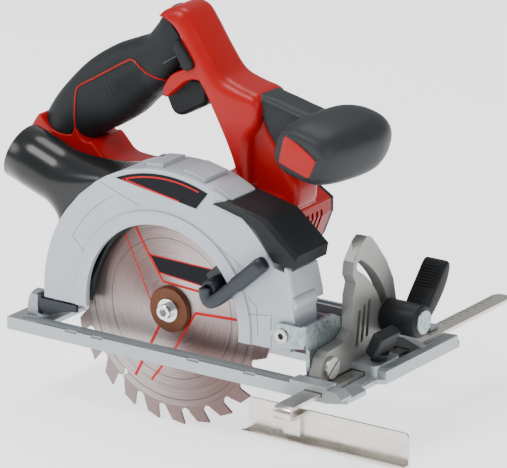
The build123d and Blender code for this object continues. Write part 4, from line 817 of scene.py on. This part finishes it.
# ---------------------------------------------------------------- rounded edges on the CAD parts
def round_edges(node_name, width, degrees=28):
    """Rounds the CAD node's edges with modifiers."""
    node = frame["nodes"][node_name]
    weld = node.modifiers.new("weld", "WELD")
    weld.merge_threshold = 0.002 * MM
    edge = node.modifiers.new("round", "BEVEL")
    edge.width = width * MM
    edge.segments = 2
    edge.limit_method = "ANGLE"
    edge.angle_limit = radians(degrees)
    edge.use_clamp_overlap = True
    edge.harden_normals = False


for node_name, width in (
    ("sole_plate", 0.5), ("bevel_quadrant", 0.7), ("upper_guard", 0.5), ("front_cover", 0.5),
    ("bevel_bracket", 0.4),
    ("wing_screw", 0.5), ("rear_tilt_bracket", 0.4), ("guide_rail", 0.3), ("motor_housing", 0.5),
    ("motor_end_cap", 0.5), ("battery_shoe", 0.5), ("depth_lever", 0.5), ("outer_flange", 0.25),
):
    round_edges(node_name, width)


# ---------------------------------------------------------------- camera, light and floor
def stage_set():
    """The pale floor, the soft light and the camera."""
    floor_mesh = bpy.data.meshes.new("floor")
    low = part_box("blade")[0][2] - 0.6 * MM
    half = 4.0
    corners = [(-half, -half, low), (half, -half, low), (half, half, low), (-half, half, low)]
    floor_mesh.from_pydata(corners, [], [(0, 1, 2, 3)])
    floor = bpy.data.objects.new("floor", floor_mesh)
    bpy.context.scene.collection.objects.link(floor)
    made, nodes, links, shader = material("floor_look")
    vector = place_vector(nodes, links)
    cloud = noise(nodes, links, vector, 1.5, 2.0)
    links.new(ramp(nodes, links, cloud, [(0.3, (0.86, 0.86, 0.86)), (0.7, (0.9, 0.9, 0.9))]),
              shader.inputs["Base Color"])
    shader.inputs["Roughness"].default_value = 0.9
    shader.inputs["Emission Color"].default_value = (1, 1, 1, 1)
    shader.inputs["Emission Strength"].default_value = 1.35
    floor.data.materials.append(made)

    world = bpy.data.worlds.new("studio")
    world.use_nodes = True
    background = world.node_tree.nodes["Background"]
    background.inputs["Color"].default_value = (1, 1, 1, 1)
    background.inputs["Strength"].default_value = 0.5
    bpy.context.scene.world = world
    target = Vector((61.3 * MM, 0, 88 * MM))
    # name, place and size in metres, power in watts
    for name, place, size, power in (
        ("key", (-0.5, -1.1, 1.9), 0.9, 26), ("fill", (1.9, -0.9, 0.8), 1.0, 9),
        ("top", (-0.2, 0.6, 2.0), 1.0, 16), ("rim", (-1.5, -0.7, 0.8), 0.7, 6),
    ):
        lamp = bpy.data.lights.new(name, "AREA")
        lamp.shape = "DISK"
        lamp.size = size
        lamp.energy = power
        holder = bpy.data.objects.new(name, lamp)
        holder.location = place
        holder.rotation_euler = (target - Vector(place)).to_track_quat("-Z", "Y").to_euler()
        bpy.context.scene.collection.objects.link(holder)

    # away is in metres, the sensor and the lens in mm
    azimuth, elevation, away = radians(34.6), radians(18.23), 3.0
    view = bpy.data.cameras.new("camera")
    view.sensor_width = 36
    view.lens = 349.3
    view.dof.use_dof = False
    view.clip_end = 20
    camera = bpy.data.objects.new("camera", view)
    back = Vector((sin(azimuth) * cos(elevation), -cos(azimuth) * cos(elevation), sin(elevation)))
    camera.location = target + back * away
    camera.rotation_euler = back.to_track_quat("Z", "Y").to_euler()
    bpy.context.scene.collection.objects.link(camera)
    bpy.context.scene.camera = camera


stage_set()
